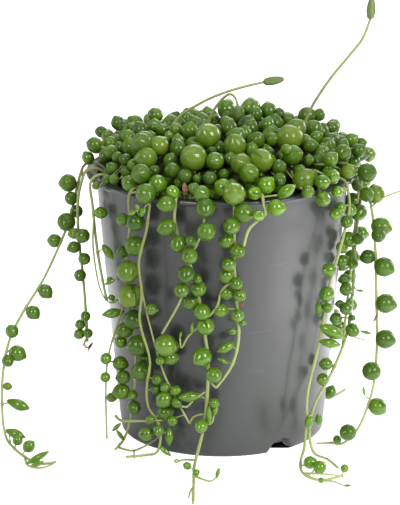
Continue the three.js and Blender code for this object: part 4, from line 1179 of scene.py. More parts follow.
def stretch_of(made):
    """Points each millimetre along the stems of a strand from the lip on, and the way they run."""
    points, tangents = [], []
    for index, line in enumerate(made):
        shares = np.arange(0 if index else LIP_AT - 4, line.length) / line.length
        points.append(line.at(shares))
        tangents.append(line.tangent(shares))
    return np.concatenate(points), np.concatenate(tangents)


def seat_leaf(owner, foot, tangent, centre, size, youth, way=None, outwards=FRONTWARDS, **more):
    """Put a leaf at its place, or as little outwards of it as will do. Returns whether it fitted."""
    for _ in range(MOST_STEPS):
        axis = unit(unit(centre - foot) + 0.3 * tangent) if way is None else unit(np.array(way, float))
        balls = foot_balls(foot, centre, size)
        passes = all(clear_of_pot(p, r) and clear_of_plant(p, r, owner, 0) for p, r in balls)
        if passes and may_grow(centre, axis, size, owner, PRESSED):
            note_leaf(owner, centre, axis, size, youth, foot=foot, **more)
            for p, r in balls:
                note_stem_point(owner, p, r)
            return True
        centre = centre + STEP * np.array(outwards)
    return False


def seat_by_hand(strand, made):
    """Seat the leaves that are listed for a strand. Returns the ones that found no room."""
    points, tangents = stretch_of(made)
    first, last = strand["ages"]
    left_out = []

    def seat(x, z, size, side, way=None, own_age=None, **more):
        away = np.hypot(points[:, 0] - x, points[:, 2] - z)
        near = int(np.argmin(away))
        depth = math.sqrt(max((size * 0.9 + 0.3) ** 2 - away[near] ** 2, 0.0))
        centre = np.array([x, points[near, 1] + side * depth, z])
        youth = mix(first, last, near / len(points)) if own_age is None else own_age
        if not seat_leaf(strand["name"], points[near], tangents[near], centre, size, youth, way, **more):
            left_out.append((x, z))

    for x, z, size in strand.get("behind", []):
        seat(x, z, size, 1)
    for x, z, size, *own_age in strand["pearls"]:
        seat(x, z, size, -1, own_age=own_age[0] if own_age else None)
    for x, z, size, way_x, way_z in strand.get("drops", []):
        seat(x, z, size, -1, (way_x, -0.25, way_z), slim=True)
    for x, y, z, size in strand.get("free", []):
        centre = np.array([x, y, z], float)
        near = int(np.argmin(((points - centre) ** 2).sum(axis=1)))
        if not seat_leaf(strand["name"], points[near], tangents[near], centre, size, last, slim=False):
            left_out.append((x, y, z))
    return left_out


print("a leaf may step outwards by up to", MOST_STEPS * STEP, "mm")

# %% The growth rule
ATTEMPTS = 9  # how many sides of the stem a leaf tries
SWING = 20  # degrees from one try to the next


def side_of(point, tangent, angle):
    """The direction square to a stem at an angle round it, where 0 faces up and away from the pot."""
    out = unit(np.array([point[0], point[1], 0.0])) + np.array([0, 0, 0.6])
    first = unit(out - tangent * (out @ tangent))
    second = np.cross(first, tangent)
    return first * math.cos(math.radians(angle)) + second * math.sin(math.radians(angle))


def grow_leaves(owner, line, start, ages, bare, gap, size, seed):
    """Walk along the line and seat a leaf at each step, if there is room for it.

    bare is how much of either end stays without leaves. gap and size run from their first value at
    the start to their second at the tip, and so do the ages.
    """
    draw = drawer(seed)
    length = line.length
    turn = draw()
    at = start + bare[0]
    while at < length - bare[1]:
        share = (at - start) / (length - start)
        radius = mix(size[0], size[1], share) * mix(0.86, 1.14, draw())
        middle = line.at(at / length)
        tangent = line.tangent(at / length)
        angle = 180 * (2 * turn - 1)
        for attempt in range(ATTEMPTS):
            swing = SWING * attempt * (-1 if attempt % 2 else 1)
            facing = side_of(middle, tangent, angle + swing)
            axis = unit(facing + 0.3 * tangent)
            centre = middle + facing * (radius * 0.9 + 0.3)
            if may_grow(centre, axis, radius, owner):
                note_leaf(owner, centre, axis, radius, mix(*ages, share), foot=middle)
                break
        at += mix(gap[0], gap[1], share) * mix(0.75, 1.25, draw())
        turn = (turn + GOLDEN_SHARE) % 1


print("a leaf tries", ATTEMPTS, "sides of its stem")

# %% Lines for every stem
lines = {}
for strand in STRANDS:
    made = [strand_line(strand["route"])]
    if "branch" in strand:
        made.append(KnottedLine(strand["branch"]))
    lines[strand["name"]] = made
    for line in made:
        note_stem(strand["name"], line, STEM_ROOM)
shoot_lines = [shoot_line(*shoot) for shoot in SHOOTS]
for line in shoot_lines:
    note_stem("crown", line, STEM_ROOM)
for stalk in STALKS:
    lines[stalk["name"]] = [KnottedLine(stalk["route"])]
    note_stem(stalk["name"], lines[stalk["name"]][0], STALK_ROOM)
print(len(stem_points), "points of stems to keep clear of")

# %% Leaves on every strand
for strand in STRANDS:
    made = lines[strand["name"]]
    if "pearls" in strand:
        print(strand["name"], "found no room at", seat_by_hand(strand, made))
    else:
        grow_leaves(strand["name"], made[0], LIP_AT, strand["ages"], **strand["growth"])
print(len(leaves), "leaves on strands")

# %% [markdown]
# ## The crown
#
# The middle of the pot is a mound of short stems packed with leaves. Those that show at the front
# and along the top are listed one by one, the fattest among them, so that the plant has its own
# uneven outline. The others are tried at seeded places on the dome, from large to small, and each
# keeps clear of those before it. The gaps that stay are as dark as the gaps in a real one.
# Part of that dark is painted shade: the bed under the gaps is coloured near black.

# %% Leaves of the crown
FAT_FROM = 4.2  # leaves of this radius and more are the fat old ones
FINE_FROM = 3.3  # and from this radius on a leaf has a finer surface
# x, y, z and radius, from the left to the right
CROWN_LEAVES = [
    (-56, -3, 130, 3.4), (-49, -1, 130, 3.3), (-47, 27, 133, 3), (-44, 17, 134, 2.1), (-39, 22, 134, 3.5),
    (-36, 1, 136, 3.4), (-41, -5, 134, 3), (-30, 26, 137, 3.2), (-30, 3, 136.5, 2.1), (-51, -10, 127, 2.8),
    (-48, -14, 129.5, 2.9), (-45, -22, 129, 2.4), (-47, -25, 125, 2.6), (-41, -31, 125, 2.4),
    (-38, -33, 128.5, 2.4), (-49.3, -31, 121.5, 2), (-53.2, -33.5, 119, 1.6), (-46, -35, 122.6, 2.1),
    (-41.8, -42.3, 122.1, 2.4), (-32, -35, 132, 4.3), (-27, -28, 135.5, 4.1), (-26, -4, 137, 2.5),
    (-20, -7, 137.5, 3), (-23, -11, 136, 2), (-25, -18, 135, 2.3), (-19, -23, 136.5, 2.5),
    (-14, -12, 138.5, 3.4), (-12, -43, 134, 5.3), (-6, -24, 139, 5), (-3, -45, 133, 3.5),
    (-21, -45, 129, 3.2), (-15.5, -49, 127.5, 2.9), (-10.5, -51, 127, 1.8), (-5, -52.5, 127.5, 2.8),
    (-31, -44, 125.5, 3.8), (-16, 20, 137, 2.6), (-10, 20, 137.5, 2.3), (-5, 17, 138, 2.3),
    (-4.5, -34, 134.5, 2.1), (2, 33, 138, 3.9), (7, 22, 138, 3.4), (13, 31, 139, 4.2), (15, 23, 138, 3),
    (21, 30, 138, 3.6), (26, 27, 137, 2.5), (20, 2, 138, 2.9), (30, 20, 136.5, 2.4), (38, 20, 138, 3.6),
    (42, 20, 137, 2.7), (40, 3, 135.5, 4), (41, -6, 134, 2.7), (29, -21, 137.5, 5.2), (32, -11, 139, 4.3),
    (21.3, -22, 137, 2.8), (30, -34, 133, 4.1), (5.5, -33, 137, 4.5), (15, -25, 137.5, 3.2),
    (16.5, -44, 133, 4.9), (8, -46, 132, 4.3), (11, -50.5, 128.5, 4), (20, -33, 134, 2.2),
    (24.5, -34, 133, 2.3), (24, -43, 130, 3), (24, -49, 126, 2.9), (38, -19, 133.5, 2.9),
    (43, -20, 131, 2.6), (37, -31, 130, 2.2), (42, -31, 128, 3.1), (48, -19, 128.5, 3.1),
    (48, 0, 131.5, 3.1), (53, -5, 130, 2.8), (57, 0, 131.5, 2.9), (56, -6, 124.5, 3.3),
    (34.5, -43, 124.5, 4.5), (36, -52, 121.5, 2.7), (46, -38, 122, 2.8),
]
# those that close the last gaps at the rim of the mound
RIM_LEAVES = [
    (48.4, -35.2, 126.8, 2.9), (54.1, -27, 124, 3), (50.1, -35.6, 122.5, 2.8), (48.2, -39.5, 119.5, 2.4),
    (52.4, -35.5, 116.6, 3.3), (62.7, -10, 112.5, 2.6), (46.8, -20.7, 127.9, 3.5), (-31.6, -27, 134.5, 4.3),
    (-41.3, -27.1, 129.1, 2.7), (-30.1, -53, 128, 3.7), (-47, 5, 130, 2.8), (55, -14, 128, 3),
]
print(len(CROWN_LEAVES) + len(RIM_LEAVES), "leaves of the crown placed by hand")

# %% Seats on the dome
STALKS_WITHIN = 47.0  # how far from the middle the stalks come out of the mound


def crown_height(radius):
    """A flat dome with a steep shoulder: shoulder + rise * (1 - share^3)^0.6."""
    share = min(radius / CROWN_RADIUS, 1)
    return CROWN_SHOULDER + (CROWN_TOP - CROWN_SHOULDER) * (1 - share**3) ** 0.6


def crown_normal(p):
    """The direction out of the dome at a point of it."""
    radius = math.hypot(p[0], p[1])
    slope = crown_height(radius + 0.5) - crown_height(max(radius - 0.5, 0))
    out = np.array([p[0] / radius, p[1] / radius, 0.0]) if radius > 0.1 else np.zeros(3)
    return unit(out * -slope + np.array([0, 0, 1.0]))


def foot_on_crown(x, y, size):
    """Where the stalk of a leaf comes out of the mound, straight below it or at the mound's rim."""
    inward = min(1.0, STALKS_WITHIN / max(math.hypot(x, y), 1e-6))
    return np.array([x * inward, y * inward, crown_height(math.hypot(x, y) * inward) - 0.6 * size])


def lean_of(draw):
    """A small direction in space from three draws."""
    return np.array([draw() - 0.5, draw() - 0.5, draw() - 0.5])


def seat_by_place(x, y, z, size, youth, lean):
    """Seat a listed leaf on the mound, pointing outwards with a lean."""
    outwards = unit([x / 50, y / 50, 0.6])
    foot = foot_on_crown(x, y, size)
    centre = np.array([x, y, z], float)
    if not seat_leaf("crown", foot, 0 * foot, centre, size, youth, outwards + lean, outwards):
        left_out.append((x, y, z))


def seat_on_crown(x, y, size, draw, lift, closeness, youth):
    """Seat a leaf over a point of the dome, lift leaf radii above it, if there is room."""
    base = np.array([x, y, crown_height(math.hypot(x, y))])
    normal = crown_normal(base)
    axis = unit(normal + 0.9 * lean_of(draw))
    centre = base + normal * size * lift
    if may_grow(centre, axis, size, "crown", closeness):
        note_leaf("crown", centre, axis, size, youth, foot=base - normal * 1.5)


print("the dome is", round(crown_height(0), 1), "high in the middle")

# %% Seat the leaves of the crown
crown_draw = drawer(5)
youth_draw = drawer(6)
left_out = []
for spot in CROWN_LEAVES:
    seat_by_place(*spot, youth=0.3 * youth_draw() ** 2, lean=1.2 * lean_of(crown_draw))
print(len(leaves), "leaves with the ones placed on the crown; no room at", left_out)

rim_draw = np.random.default_rng(8)
for spot in RIM_LEAVES:
    seat_by_place(*spot, youth=0.1, lean=0.5 * rim_draw.normal(size=3))
print(len(leaves), "leaves with the rim; no room at", left_out)

for number, line in enumerate(shoot_lines):
    grow_leaves("crown", line, 0, (0.15, 0.5), bare=(6, 0), gap=(8, 8), size=(3.4, 2.8), seed=300 + number)
print(len(leaves), "leaves with the short shoots")

# %% Fill the dome
# how many tries, largest and smallest radius, and least and most lift in leaf radii
FILLINGS = [(80, 4.0, 3.4, 0.1, 0.6), (400, 3.6, 3.0, -0.2, 0.6), (500, 3.1, 2.5, -0.6, 0.2),
            (250, 2.5, 2.0, -0.7, 0.0)]
for tries, large, small, low, high in FILLINGS:
    for _ in range(tries):
        radius = (CROWN_RADIUS - 0.3) * math.sqrt(crown_draw())
        spot = around(360 * crown_draw(), radius, 0)
        size = mix(large, small, crown_draw())
        lift = mix(low, high, crown_draw())
        seat_on_crown(spot[0], spot[1], size, crown_draw, lift, 1.0, youth=0.35 * youth_draw() ** 2)
print(len(leaves), "leaves with the dome filled")

# %% Fill the edge over the lip
# tries, first and last bearing, least and most radius, least and most height. The sides and the back
# spill over the lip, and the front only closes up to it, except at its right where it stays open
EDGES = [(1400, 78, 248, 48, 63, 112, 131), (500, -50, 30, 45, 53, 116, 124), (250, 46, 78, 45, 55, 118, 127)]
EDGE_STALKS = 123.5  # the least height at which their stalks leave the mound
edge_rules = [rule for rule in EDGES for _ in range(rule[0])]
for _, first, last, inner, outer, low, high in edge_rules:
    bearing = mix(first, last, crown_draw())
    spot = around(bearing, mix(inner, outer, crown_draw()), mix(low, high, crown_draw()))
    size = mix(2.2, 3.6, crown_draw())
    outwards = around(bearing, 1, 0.4 - crown_draw())
    aside = np.array([crown_draw() - 0.5, crown_draw() - 0.5, 0])
    axis = unit(outwards + 0.4 * aside)
    if may_grow(spot, axis, size, "crown", 1.0):
        foot = around(bearing, min(math.hypot(spot[0], spot[1]) - size, 50), max(spot[2], EDGE_STALKS))
        note_leaf("crown", spot, axis, size, 0.45 * youth_draw() ** 2, foot=foot)
print(len(leaves), "leaves with the edge filled")

# %% [markdown]
# ## The shape of a leaf
#
# A leaf could be a sphere with subdivisions, pulled into shape by hand, but there are many hundreds.
# So one formula draws every leaf. A grid of polar angles from the foot to the tip and of turns round
# the axis gives a ball, which is stretched for the slim young leaves, pulled in to a neck at the foot
# and drawn out to a small point at the tip. All leaves of a piece are worked out in one array.

# %% Leaf surfaces
LEAF_RINGS = np.radians([0, 28, 56, 84, 112, 140, 167, 180])
FINE_RINGS = np.radians([0, 14, 34, 54, 74, 94, 114, 134, 152, 170, 180])
LEAF_SIDES = 12
FINE_SIDES = 18
WINDOW_WAY = np.array([0.1, -0.5, 1.0])  # the windows of the leaves face about this way, to the light


def leaf_parts(group, rings=LEAF_RINGS, sides=LEAF_SIDES):
    """The leaves of a list, as one part.

    With s = (1 - cos p) / 2 from 0 at the foot to 1 at the tip, the radius is
    size * width * sin p * (1 - neck (1 - s)^2 / 2) * (1 - narrow s^2), and the place along the axis
    is size * (-length cos p + point s^30 - neck (1 - s)^6).
    """
    if not group:
        return []
    column = lambda key, default: np.array([leaf.get(key, default) for leaf in group], float)[:, None]
    size, length, width = column("size", 3), column("length", 1.0), column("width", 1.0)
    neck, point, narrow = column("neck", 0.12), column("point", 0.14), column("narrow", 0.0)
    share = (1 - np.cos(rings)) / 2
    across = size * width * np.sin(rings) * (1 - 0.5 * neck * (1 - share) ** 2) * (1 - narrow * share**2)
    along = size * (-length * np.cos(rings) + point * share**30 - neck * (1 - share) ** 6)
    centre = np.array([leaf["centre"] for leaf in group])
    axis = unit(np.array([leaf["axis"] for leaf in group]))
    skyward = np.array([leaf["window"] for leaf in group], float)
    side = unit(skyward - axis * (skyward * axis).sum(axis=1, keepdims=True))
    other = np.cross(axis, side)
    # the window is at half a turn, so the turns start on the far side of it
    turn = np.arange(sides) / sides * TAU + math.pi
    ring = side[:, None] * np.cos(turn)[None, :, None] + other[:, None] * np.sin(turn)[None, :, None]
    grids = centre[:, None, None] + axis[:, None, None] * along[..., None, None]
    grids = grids + ring[:, None] * across[..., None, None]
    pattern = wrapped_grid(grids[0], along=rings / math.pi)
    count, points_each = len(group), len(pattern["points"])
    shift = (np.arange(count) * points_each)[:, None, None]
    body = grids[:, 1:-1].reshape(count, -1, 3)
    points = np.concatenate([grids[:, :1, 0], body, grids[:, -1:, 0]], axis=1)
    facts = np.concatenate([column("tint", 0.5), column("youth", 0.0), column("pale", 0.0)], axis=1)
    return [part(
        points,
        pattern["quads"][None] + shift,
        np.broadcast_to(pattern["quad_uv"], (count, *pattern["quad_uv"].shape)),
        pattern["tris"][None] + shift,
        np.broadcast_to(pattern["tri_uv"], (count, *pattern["tri_uv"].shape)),
        facts.repeat(points_each, axis=0),
    )]


def leaves_of_both_kinds(group):
    """The leaves of a piece as parts: the large ones on a finer grid than the others."""
    large = [leaf for leaf in group if leaf["size"] >= FINE_FROM]
    others = [leaf for leaf in group if leaf["size"] < FINE_FROM]
    return leaf_parts(large, FINE_RINGS, FINE_SIDES) + leaf_parts(others)


print("faces in one leaf:", (len(LEAF_RINGS) - 1) * LEAF_SIDES)

# %% A form and a tone for every leaf
FULL_STRANDS = [
    "strand_forked", "strand_big_pearls", "strand_centre_left", "strand_centre_long", "strand_front",
]
FULLER = 1.08  # the strands that hang in the light have fuller leaves
SLIM_FROM = 1.25  # the least length of a slim leaf, where a round one has about 1


def dress_leaf(leaf, draw):
    """Give a leaf its own tone, the turn of its window, and the slim form of the young ones."""
    youth = float(np.clip(leaf["youth"] + 0.25 * (draw.random() - 0.5), 0, 1))
    slim = leaf.get("slim", youth > 0.7 and draw.random() < 0.2)
    leaf["youth"] = max(youth, 0.55) if slim else youth
    leaf["tint"] = draw.random()
    fat = leaf["size"] >= FAT_FROM
    leaf["pale"] = draw.uniform(0.25, 0.8) if fat else draw.uniform(0.5, 0.9) * (draw.random() < 0.06)
    leaf["window"] = WINDOW_WAY + 1.2 * draw.normal(size=3)
    leaf["length"] = draw.uniform(SLIM_FROM, 1.5) if slim else draw.uniform(1.03, 1.13)
    leaf["width"] = draw.uniform(0.92, 1.02) if slim else draw.uniform(1.06, 1.12)
    if leaf["owner"] in FULL_STRANDS and not slim:
        leaf["length"] *= FULLER
        leaf["width"] *= FULLER
    leaf["neck"] = draw.uniform(0.4, 0.7) if slim else draw.uniform(0.0, 0.06)
    leaf["narrow"] = draw.uniform(0.3, 0.45) if slim else draw.uniform(0.0, 0.03)
    leaf["point"] = draw.uniform(0.24, 0.36) if slim else draw.uniform(0.12, 0.30)


dress_draw = np.random.default_rng(77)
for leaf in leaves:
    dress_leaf(leaf, dress_draw)
print(sum(leaf["length"] >= SLIM_FROM for leaf in leaves), "of", len(leaves), "leaves are slim")

# %% [markdown]
# ## Stems and stalks
#
# A stem is a ring carried along a smooth curve through the knots. A curve object with a bevel would
# make one too, but here each ring brings its own age and brown to the finish. The frames of the rings
# are turned from one to the next without twist. The radius swells a little at each node, where a leaf
# stalk leaves it, and thins towards the tip.

# %% Smooth curves and tubes
STEM_SIDES = 8
STALK_SIDES = 5


def smooth_curve(knots, step=1.4):
    """A curve through the knots: on each stretch the cubic whose slopes are half the neighbours' span."""
    knots = np.asarray(knots, float)
    padded = np.concatenate([[2 * knots[0] - knots[1]], knots, [2 * knots[-1] - knots[-2]]])
    pieces = []
    for i in range(len(knots) - 1):
        a, b, c, d = padded[i : i + 4]
        count = max(2, int(np.linalg.norm(c - b) / step))
        t = (np.arange(count) / count)[:, None]
        pieces.append(b + 0.5 * t * (c - a) + t**2 * (a - 2.5 * b + 2 * c - 0.5 * d)
                      + t**3 * (1.5 * b - 1.5 * c + 0.5 * d - 0.5 * a))
    return np.concatenate(pieces + [knots[-1:]])


def untwisted(points):
    """Tangents and a first normal for each point, carried along so that the rings don't twist."""
    tangent = unit(np.gradient(points, axis=0))
    normal = np.cross(tangent[0], [0.31, 0.17, 0.93])
    normals = []
    for direction in tangent:
        normal = unit(normal - direction * (normal @ direction))
        normals.append(normal)
    return tangent, np.array(normals)


def tube(points, radii, sides, facts):
    """Rings round a curve: point + radius * (cos a * normal + sin a * binormal)."""
    points = np.asarray(points, float)
    tangent, normal = untwisted(points)
    binormal = np.cross(tangent, normal)
    turn = np.arange(sides) / sides * TAU
    radii = np.broadcast_to(radii, len(points))[:, None, None]
    ring = normal[:, None] * np.cos(turn)[None, :, None]
    ring = ring + binormal[:, None] * np.sin(turn)[None, :, None]
    grid = points[:, None] + ring * radii
    # the first and the last ring shrink to poles, so each end is doubled to keep its full ring
    grid = np.concatenate([grid[:1], grid, grid[-1:]])
    along = np.concatenate([[0], np.cumsum(np.linalg.norm(np.diff(points, axis=0), axis=1))])
    along = np.concatenate([along[:1], along, along[-1:]])
    if np.ndim(facts) == 2:
        facts = np.concatenate([facts[:1], facts, facts[-1:]])
    return wrapped_grid(grid, facts, along)


print("a stem ring has", STEM_SIDES, "sides")

# %% Stems and leaf stalks
NODE_REACH = 1.1  # how far a node's swelling goes along the stem
NODE_SWELL = 0.30  # and how much thicker it makes the stem
STALK_RADII = np.array([0.55, 0.42, 0.62])  # at foot, middle and head, for a leaf of the usual radius
USUAL_LEAF = 3.6


def stem_parts(knots, radius, feet, seed, ages, taper=0.9, woody=0.0):
    """A stem with a swelling at each node and a brown ring on some. woody is how brown it starts."""
    draw = np.random.default_rng(seed)
    points = smooth_curve(knots)
    share = np.linspace(0, 1, len(points))
    radii = radius * mix(1.0, taper, share) * (1 + 0.10 * ripples(points, 9.0, seed))
    facts = [0.35 + 0.25 * ripples(points, 14.0, seed + 1), mix(*ages, share), woody * (1 - share)]
    facts = np.stack(facts, axis=-1)
    for foot in feet:
        near = np.exp(-((np.linalg.norm(points - foot, axis=1) / NODE_REACH) ** 2))
        radii = radii * (1 + NODE_SWELL * near)
        facts[:, 2] += near * (0.55 if draw.random() < 0.3 else 0.12)
    return tube(points, radii, STEM_SIDES, np.clip(facts, 0, 1))


def nearest_on(points, target):
    return points[np.argmin(((points - target) ** 2).sum(axis=1))]


def leaf_stalk(leaf, curve):
    """The short stalk from the stem into the foot of a leaf, thin in the middle."""
    foot = leaf["foot"] if curve is None else nearest_on(curve, leaf["foot"])
    head = leaf["centre"] - leaf["axis"] * leaf["size"] * 0.82 * leaf["length"]
    middle = (foot + head) / 2 - leaf["axis"] * 0.15
    radii = STALK_RADII * leaf["size"] / USUAL_LEAF
    return tube([foot, middle, head], radii, STALK_SIDES, (0.5, 0.35 + 0.6 * leaf["youth"], 0.0))


print("a leaf stalk has", STALK_SIDES, "sides")

# %% [markdown]
# ## The strands
#
# Each strand of the frame gives way to two pieces: its stem with the leaf stalks, and its leaves. A
# piece for every leaf would be slow and of no use, since no leaf moves. The fine shoots and dry bits
# that some strands have come later.

# %% Strand pieces
BRANCH_SHARE = 0.7  # a side stem is thinner than the stem that it leaves
for number, strand in enumerate(STRANDS):
    name = strand["name"]
    own = [leaf for leaf in leaves if leaf["owner"] == name]
    feet = [leaf["foot"] for leaf in own]
    curves = [smooth_curve(line.knots) for line in lines[name]]
    together = np.concatenate(curves)
    parts = []
    for index, line in enumerate(lines[name]):
        ages = strand.get("stem_ages", (0.3, 0.9)) if index == 0 else (0.4, 1.0)
        radius = strand.get("thick", STEM_RADIUS) * (1.0 if index == 0 else BRANCH_SHARE)
        woody = strand.get("woody", 0.0)
        parts.append(stem_parts(line.knots, radius, feet, 60 + number, ages=ages, woody=woody))
    parts += [leaf_stalk(leaf, together) for leaf in own]
    make_piece(name + "_stem", parts, STEM_SKIN, name)
    make_piece(name + "_pearls", leaves_of_both_kinds(own), PEARL_LEAF, name)

# %% [markdown]
# ## The crown pieces
#
# Under the leaves lies a bed of litter and stems, coloured near black as painted shade for the gaps
# between the leaves, and set a little lower than the plain solid's dome, so that the leaves can nest in it.

# %% Crown bed
BED_DROP = 3.2  # the bed lies this far below the dome
bed_profile = [[0.0, SOIL_TOP + 0.9], [39.0, SOIL_TOP + 0.9], [42.0, SOIL_TOP + 6.0]]
bed_profile += [[42.5, CROWN_SHOULDER - 9.0], [46.5, CROWN_SHOULDER - 4.5]]
for share in np.linspace(0.96, 0.0, 22):
    bed_profile.append([(CROWN_RADIUS - 2.0) * share, crown_height(CROWN_RADIUS * share) - BED_DROP])
bed = turned(bed_profile, 96)
upper = bed["points"][:, 2] > SOIL_TOP + 3
heaped = bed["points"][upper]
swell = 0.9 * ripples(heaped, 8.0, 31)
bed["points"][upper] += swell[:, None] * unit(heaped - [0, 0, 90])
make_piece("crown_bed", [bed], LITTER_AND_SHADE, "crown")

# %% Crown stems and leaves
SHOOT_SHARE = 0.8  # a short shoot is thinner than a strand
NEAR = 6  # a leaf belongs to a shoot if its foot is this near, summed over the three axes
in_crown = [leaf for leaf in leaves if leaf["owner"] == "crown"]
stems = []
for number, line in enumerate(shoot_lines):
    marks = line.at(np.linspace(0, 1, 9))
    own_feet = [leaf["foot"] for leaf in in_crown if np.abs(marks - leaf["foot"]).sum(axis=1).min() < NEAR]
    stems.append(stem_parts(line.knots, STEM_RADIUS * SHOOT_SHARE, own_feet, 120 + number, ages=(0.1, 0.6)))
stems += [leaf_stalk(leaf, None) for leaf in in_crown]
make_piece("crown_stems", stems, STEM_SKIN, "crown")
make_piece("crown_pearls", leaves_of_both_kinds(in_crown), PEARL_LEAF, "crown")

# %% [markdown]
# ## Fine shoots and dry bits
#
# A plant that has hung for a year is untidy. Thin pale side shoots wander off the strands, end in a
# slim leaf or a curl, and run out on the floor. A leaf or two has dried brown on the lip, and a few
# more on the strands.

# %% Fine shoots
# strand, radius, how young, and the knots
FINE_SHOOTS = [
    ("strand_far_left", 0.59, 0.8, [(-86, -50, 1.3), (-84, -58, 0.9), (-78, -61, 0.9), (-73, -56, 0.9)]),
    ("strand_left_short", 0.52, 0.2,
     [(-60, -15, 45), (-61.5, -16.5, 42), (-59, -17, 40.5), (-57.5, -16, 43)]),
    ("strand_left_wisp", 0.52, 1.0,
     [(-55.5, -25.5, 104), (-56, -26.5, 90), (-54, -26.5, 74), (-51, -26, 66), (-48.5, -26, 64.5)]),
    ("strand_big_pearls", 0.52, 0.7,
     [(-44, -34.5, 3), (-46, -36, 1), (-42, -39.5, 0.9), (-38.3, -40.5, 1), (-31.5, -42, 5), (-27, -45, 10),
      (-26, -47.5, 15)]),
    ("strand_big_pearls", 0.42, 0.4, [(-38.8, -40.4, 0.9), (-38.6, -44, 0.6), (-38.1, -49, 0.5)]),
    ("strand_forked", 0.65, 1.0,
     [(-47.1, -32, 14.1), (-44.6, -35, 12.9), (-37.2, -43, 15.7), (-30.4, -48, 17.6), (-26, -49.5, 18.5)]),
    ("strand_forked", 0.52, 0.9,
     [(-31.5, -55.8, 108), (-30.1, -57, 117.7), (-33.1, -56.5, 115.4), (-36.2, -55, 113.9)]),
    ("strand_forked", 0.55, 0.5,
     [(-14, -52.5, 18), (-12.5, -52.5, 21), (-9.5, -53.5, 22.6), (-7.5, -53.9, 23)]),
    ("strand_centre_long", 0.59, 1.0,
     [(-18.3, -53, 26.9), (-15.4, -53.5, 26), (-12.1, -54.3, 29.7), (-7, -54.4, 33.5)]),
    ("strand_centre_long", 0.55, 0.9,
     [(-7.8, -53.4, 20), (-6, -54, 18.4), (-4.2, -54, 19.4), (-3.5, -54, 22.5)]),
    ("strand_centre_long", 0.52, 0.9,
     [(-11.4, -57, 3), (-13.4, -52.5, 1.2), (-16.2, -51, 0.8), (-18.4, -52.4, 0.8), (-20, -54.6, 0.8),
      (-20.6, -52, 0.8), (-19, -51, 0.8)]),
    ("strand_centre_long", 0.52, 0.8, [(-12, -70, 1), (-9.5, -72.5, 0.8), (-5, -76, 0.8), (-2.4, -72.5, 1)]),
    ("strand_centre_long", 0.45, 0.8, [(-12, -82, 1), (-13.4, -88, 0.8), (-14, -94, 0.7)]),
    ("strand_front", 0.65, 0.6,
     [(5.6, -60.3, 85), (2.5, -61, 83.7), (-0.4, -60.6, 80), (-1.9, -60, 74.1), (-4.7, -59.5, 70),
      (-8.5, -58.2, 66.3), (-11, -57.6, 62.9), (-14.5, -56.6, 59), (-17.3, -55.4, 53.6),
      (-17.9, -55.6, 58)]),
    ("strand_front", 0.55, 1.0, [(-2.5, -59.5, 37), (-4.3, -58.5, 38.5), (-6.5, -56.5, 42)]),
    ("strand_right_crossing", 0.52, 0.9, [(42, -76, 1.2), (47.5, -77, 1), (51.5, -81.5, 0.9)]),
    ("strand_right_crossing", 0.49, 0.9,
     [(35.2, -68, 1.2), (39, -67.5, 0.9), (46, -68.5, 0.9), (50, -70.5, 1)]),
    ("strand_right_inner", 0.42, 0.9, [(55.6, -22, 50.5), (58.5, -21, 50), (61.5, -21, 49.8)]),
    ("strand_right_inner", 0.42, 0.7, [(57.8, -18.5, 70), (59.3, -19.5, 68.3)]),
    ("strand_right_inner", 0.39, 0.7, [(55.2, -21.3, 49), (59, -21.5, 47), (63, -21.5, 46)]),
    ("strand_far_right", 0.59, 0.4, [(48.5, -32, 1.3), (45, -34.8, 2.2), (41.8, -38, 3.4)]),
    ("strand_far_right", 0.39, 0.8, [(65.4, -33.6, 23), (63.8, -34, 23.2), (62.7, -34.3, 24.6)]),
]
print(len(FINE_SHOOTS), "fine shoots")

# %% Slim leaves
# strand, foot, tip, and half the width
SLIM_LEAVES = [
    ("strand_far_left", (-84, -57.5, 1.8), (-75, -56.5, 6.7), 1.7),
    ("strand_far_left", (-82, -59.5, 1.4), (-77, -61.5, 4), 1.4),
    ("strand_left_wisp", (-51, -26, 73), (-46.5, -27, 75.5), 1.0),
    ("strand_left_wisp", (-48.5, -26, 64.5), (-45.5, -27, 66.5), 0.9),
    ("strand_big_pearls", (-45, -35.5, 11.5), (-48.5, -33.5, 7.5), 1.2),
    ("strand_big_pearls", (-43.5, -35.5, 4), (-46.5, -36.5, 9), 1.1),
    ("strand_forked", (-36.2, -55, 113.9), (-39, -54.5, 112.3), 1.2),
    ("strand_forked", (-34.5, -55.9, 114.7), (-35.8, -57.5, 117.4), 1.2),
    ("strand_forked", (-32.2, -56.8, 116), (-33.6, -58.3, 112.7), 1.3),
    ("strand_forked", (-27, -49.3, 6), (-22.5, -50.6, 2.5), 1.4),
    ("strand_centre_long", (-5.6, -54, 18.6), (-5.6, -55.5, 27), 1.5),
    ("strand_centre_long", (-3.5, -54, 22.5), (-2.3, -55.3, 27.3), 1.4),
    ("strand_centre_long", (-2.4, -72.5, 1), (-1.2, -71.5, 5), 1.1),
    ("strand_front", (-12.8, -57.2, 60.5), (-12.4, -58.4, 66), 1.1),
    ("strand_front", (-17.9, -55.6, 58), (-17.4, -56, 61), 0.7),
    ("strand_right_inner", (61.5, -21, 49.8), (66, -21.5, 48.8), 0.9),
    ("strand_right_inner", (59.3, -19.5, 68.3), (62.5, -20, 68), 0.7),
    ("strand_right_inner", (57.8, -19.5, 66), (55.5, -20.5, 62.8), 0.9),
    ("strand_right_crossing", (51.5, -81.5, 0.9), (54.5, -83.5, 2), 0.7),
    ("strand_far_right", (62.7, -34.3, 24.6), (62, -34.8, 28.6), 0.8),
]
print(len(SLIM_LEAVES), "slim leaves")

# %% Pieces for the fine shoots and slim leaves


def gathered(rows, make):
    """What is made of each row, listed under the row's first entry, the node that it belongs to."""
    listed = {}
    for name, *rest in rows:
        listed.setdefault(name, []).append(make(*rest))
    return listed.items()


shoot_seed = iter(range(400, 400 + len(FINE_SHOOTS)))
slim_draw = np.random.default_rng(21)


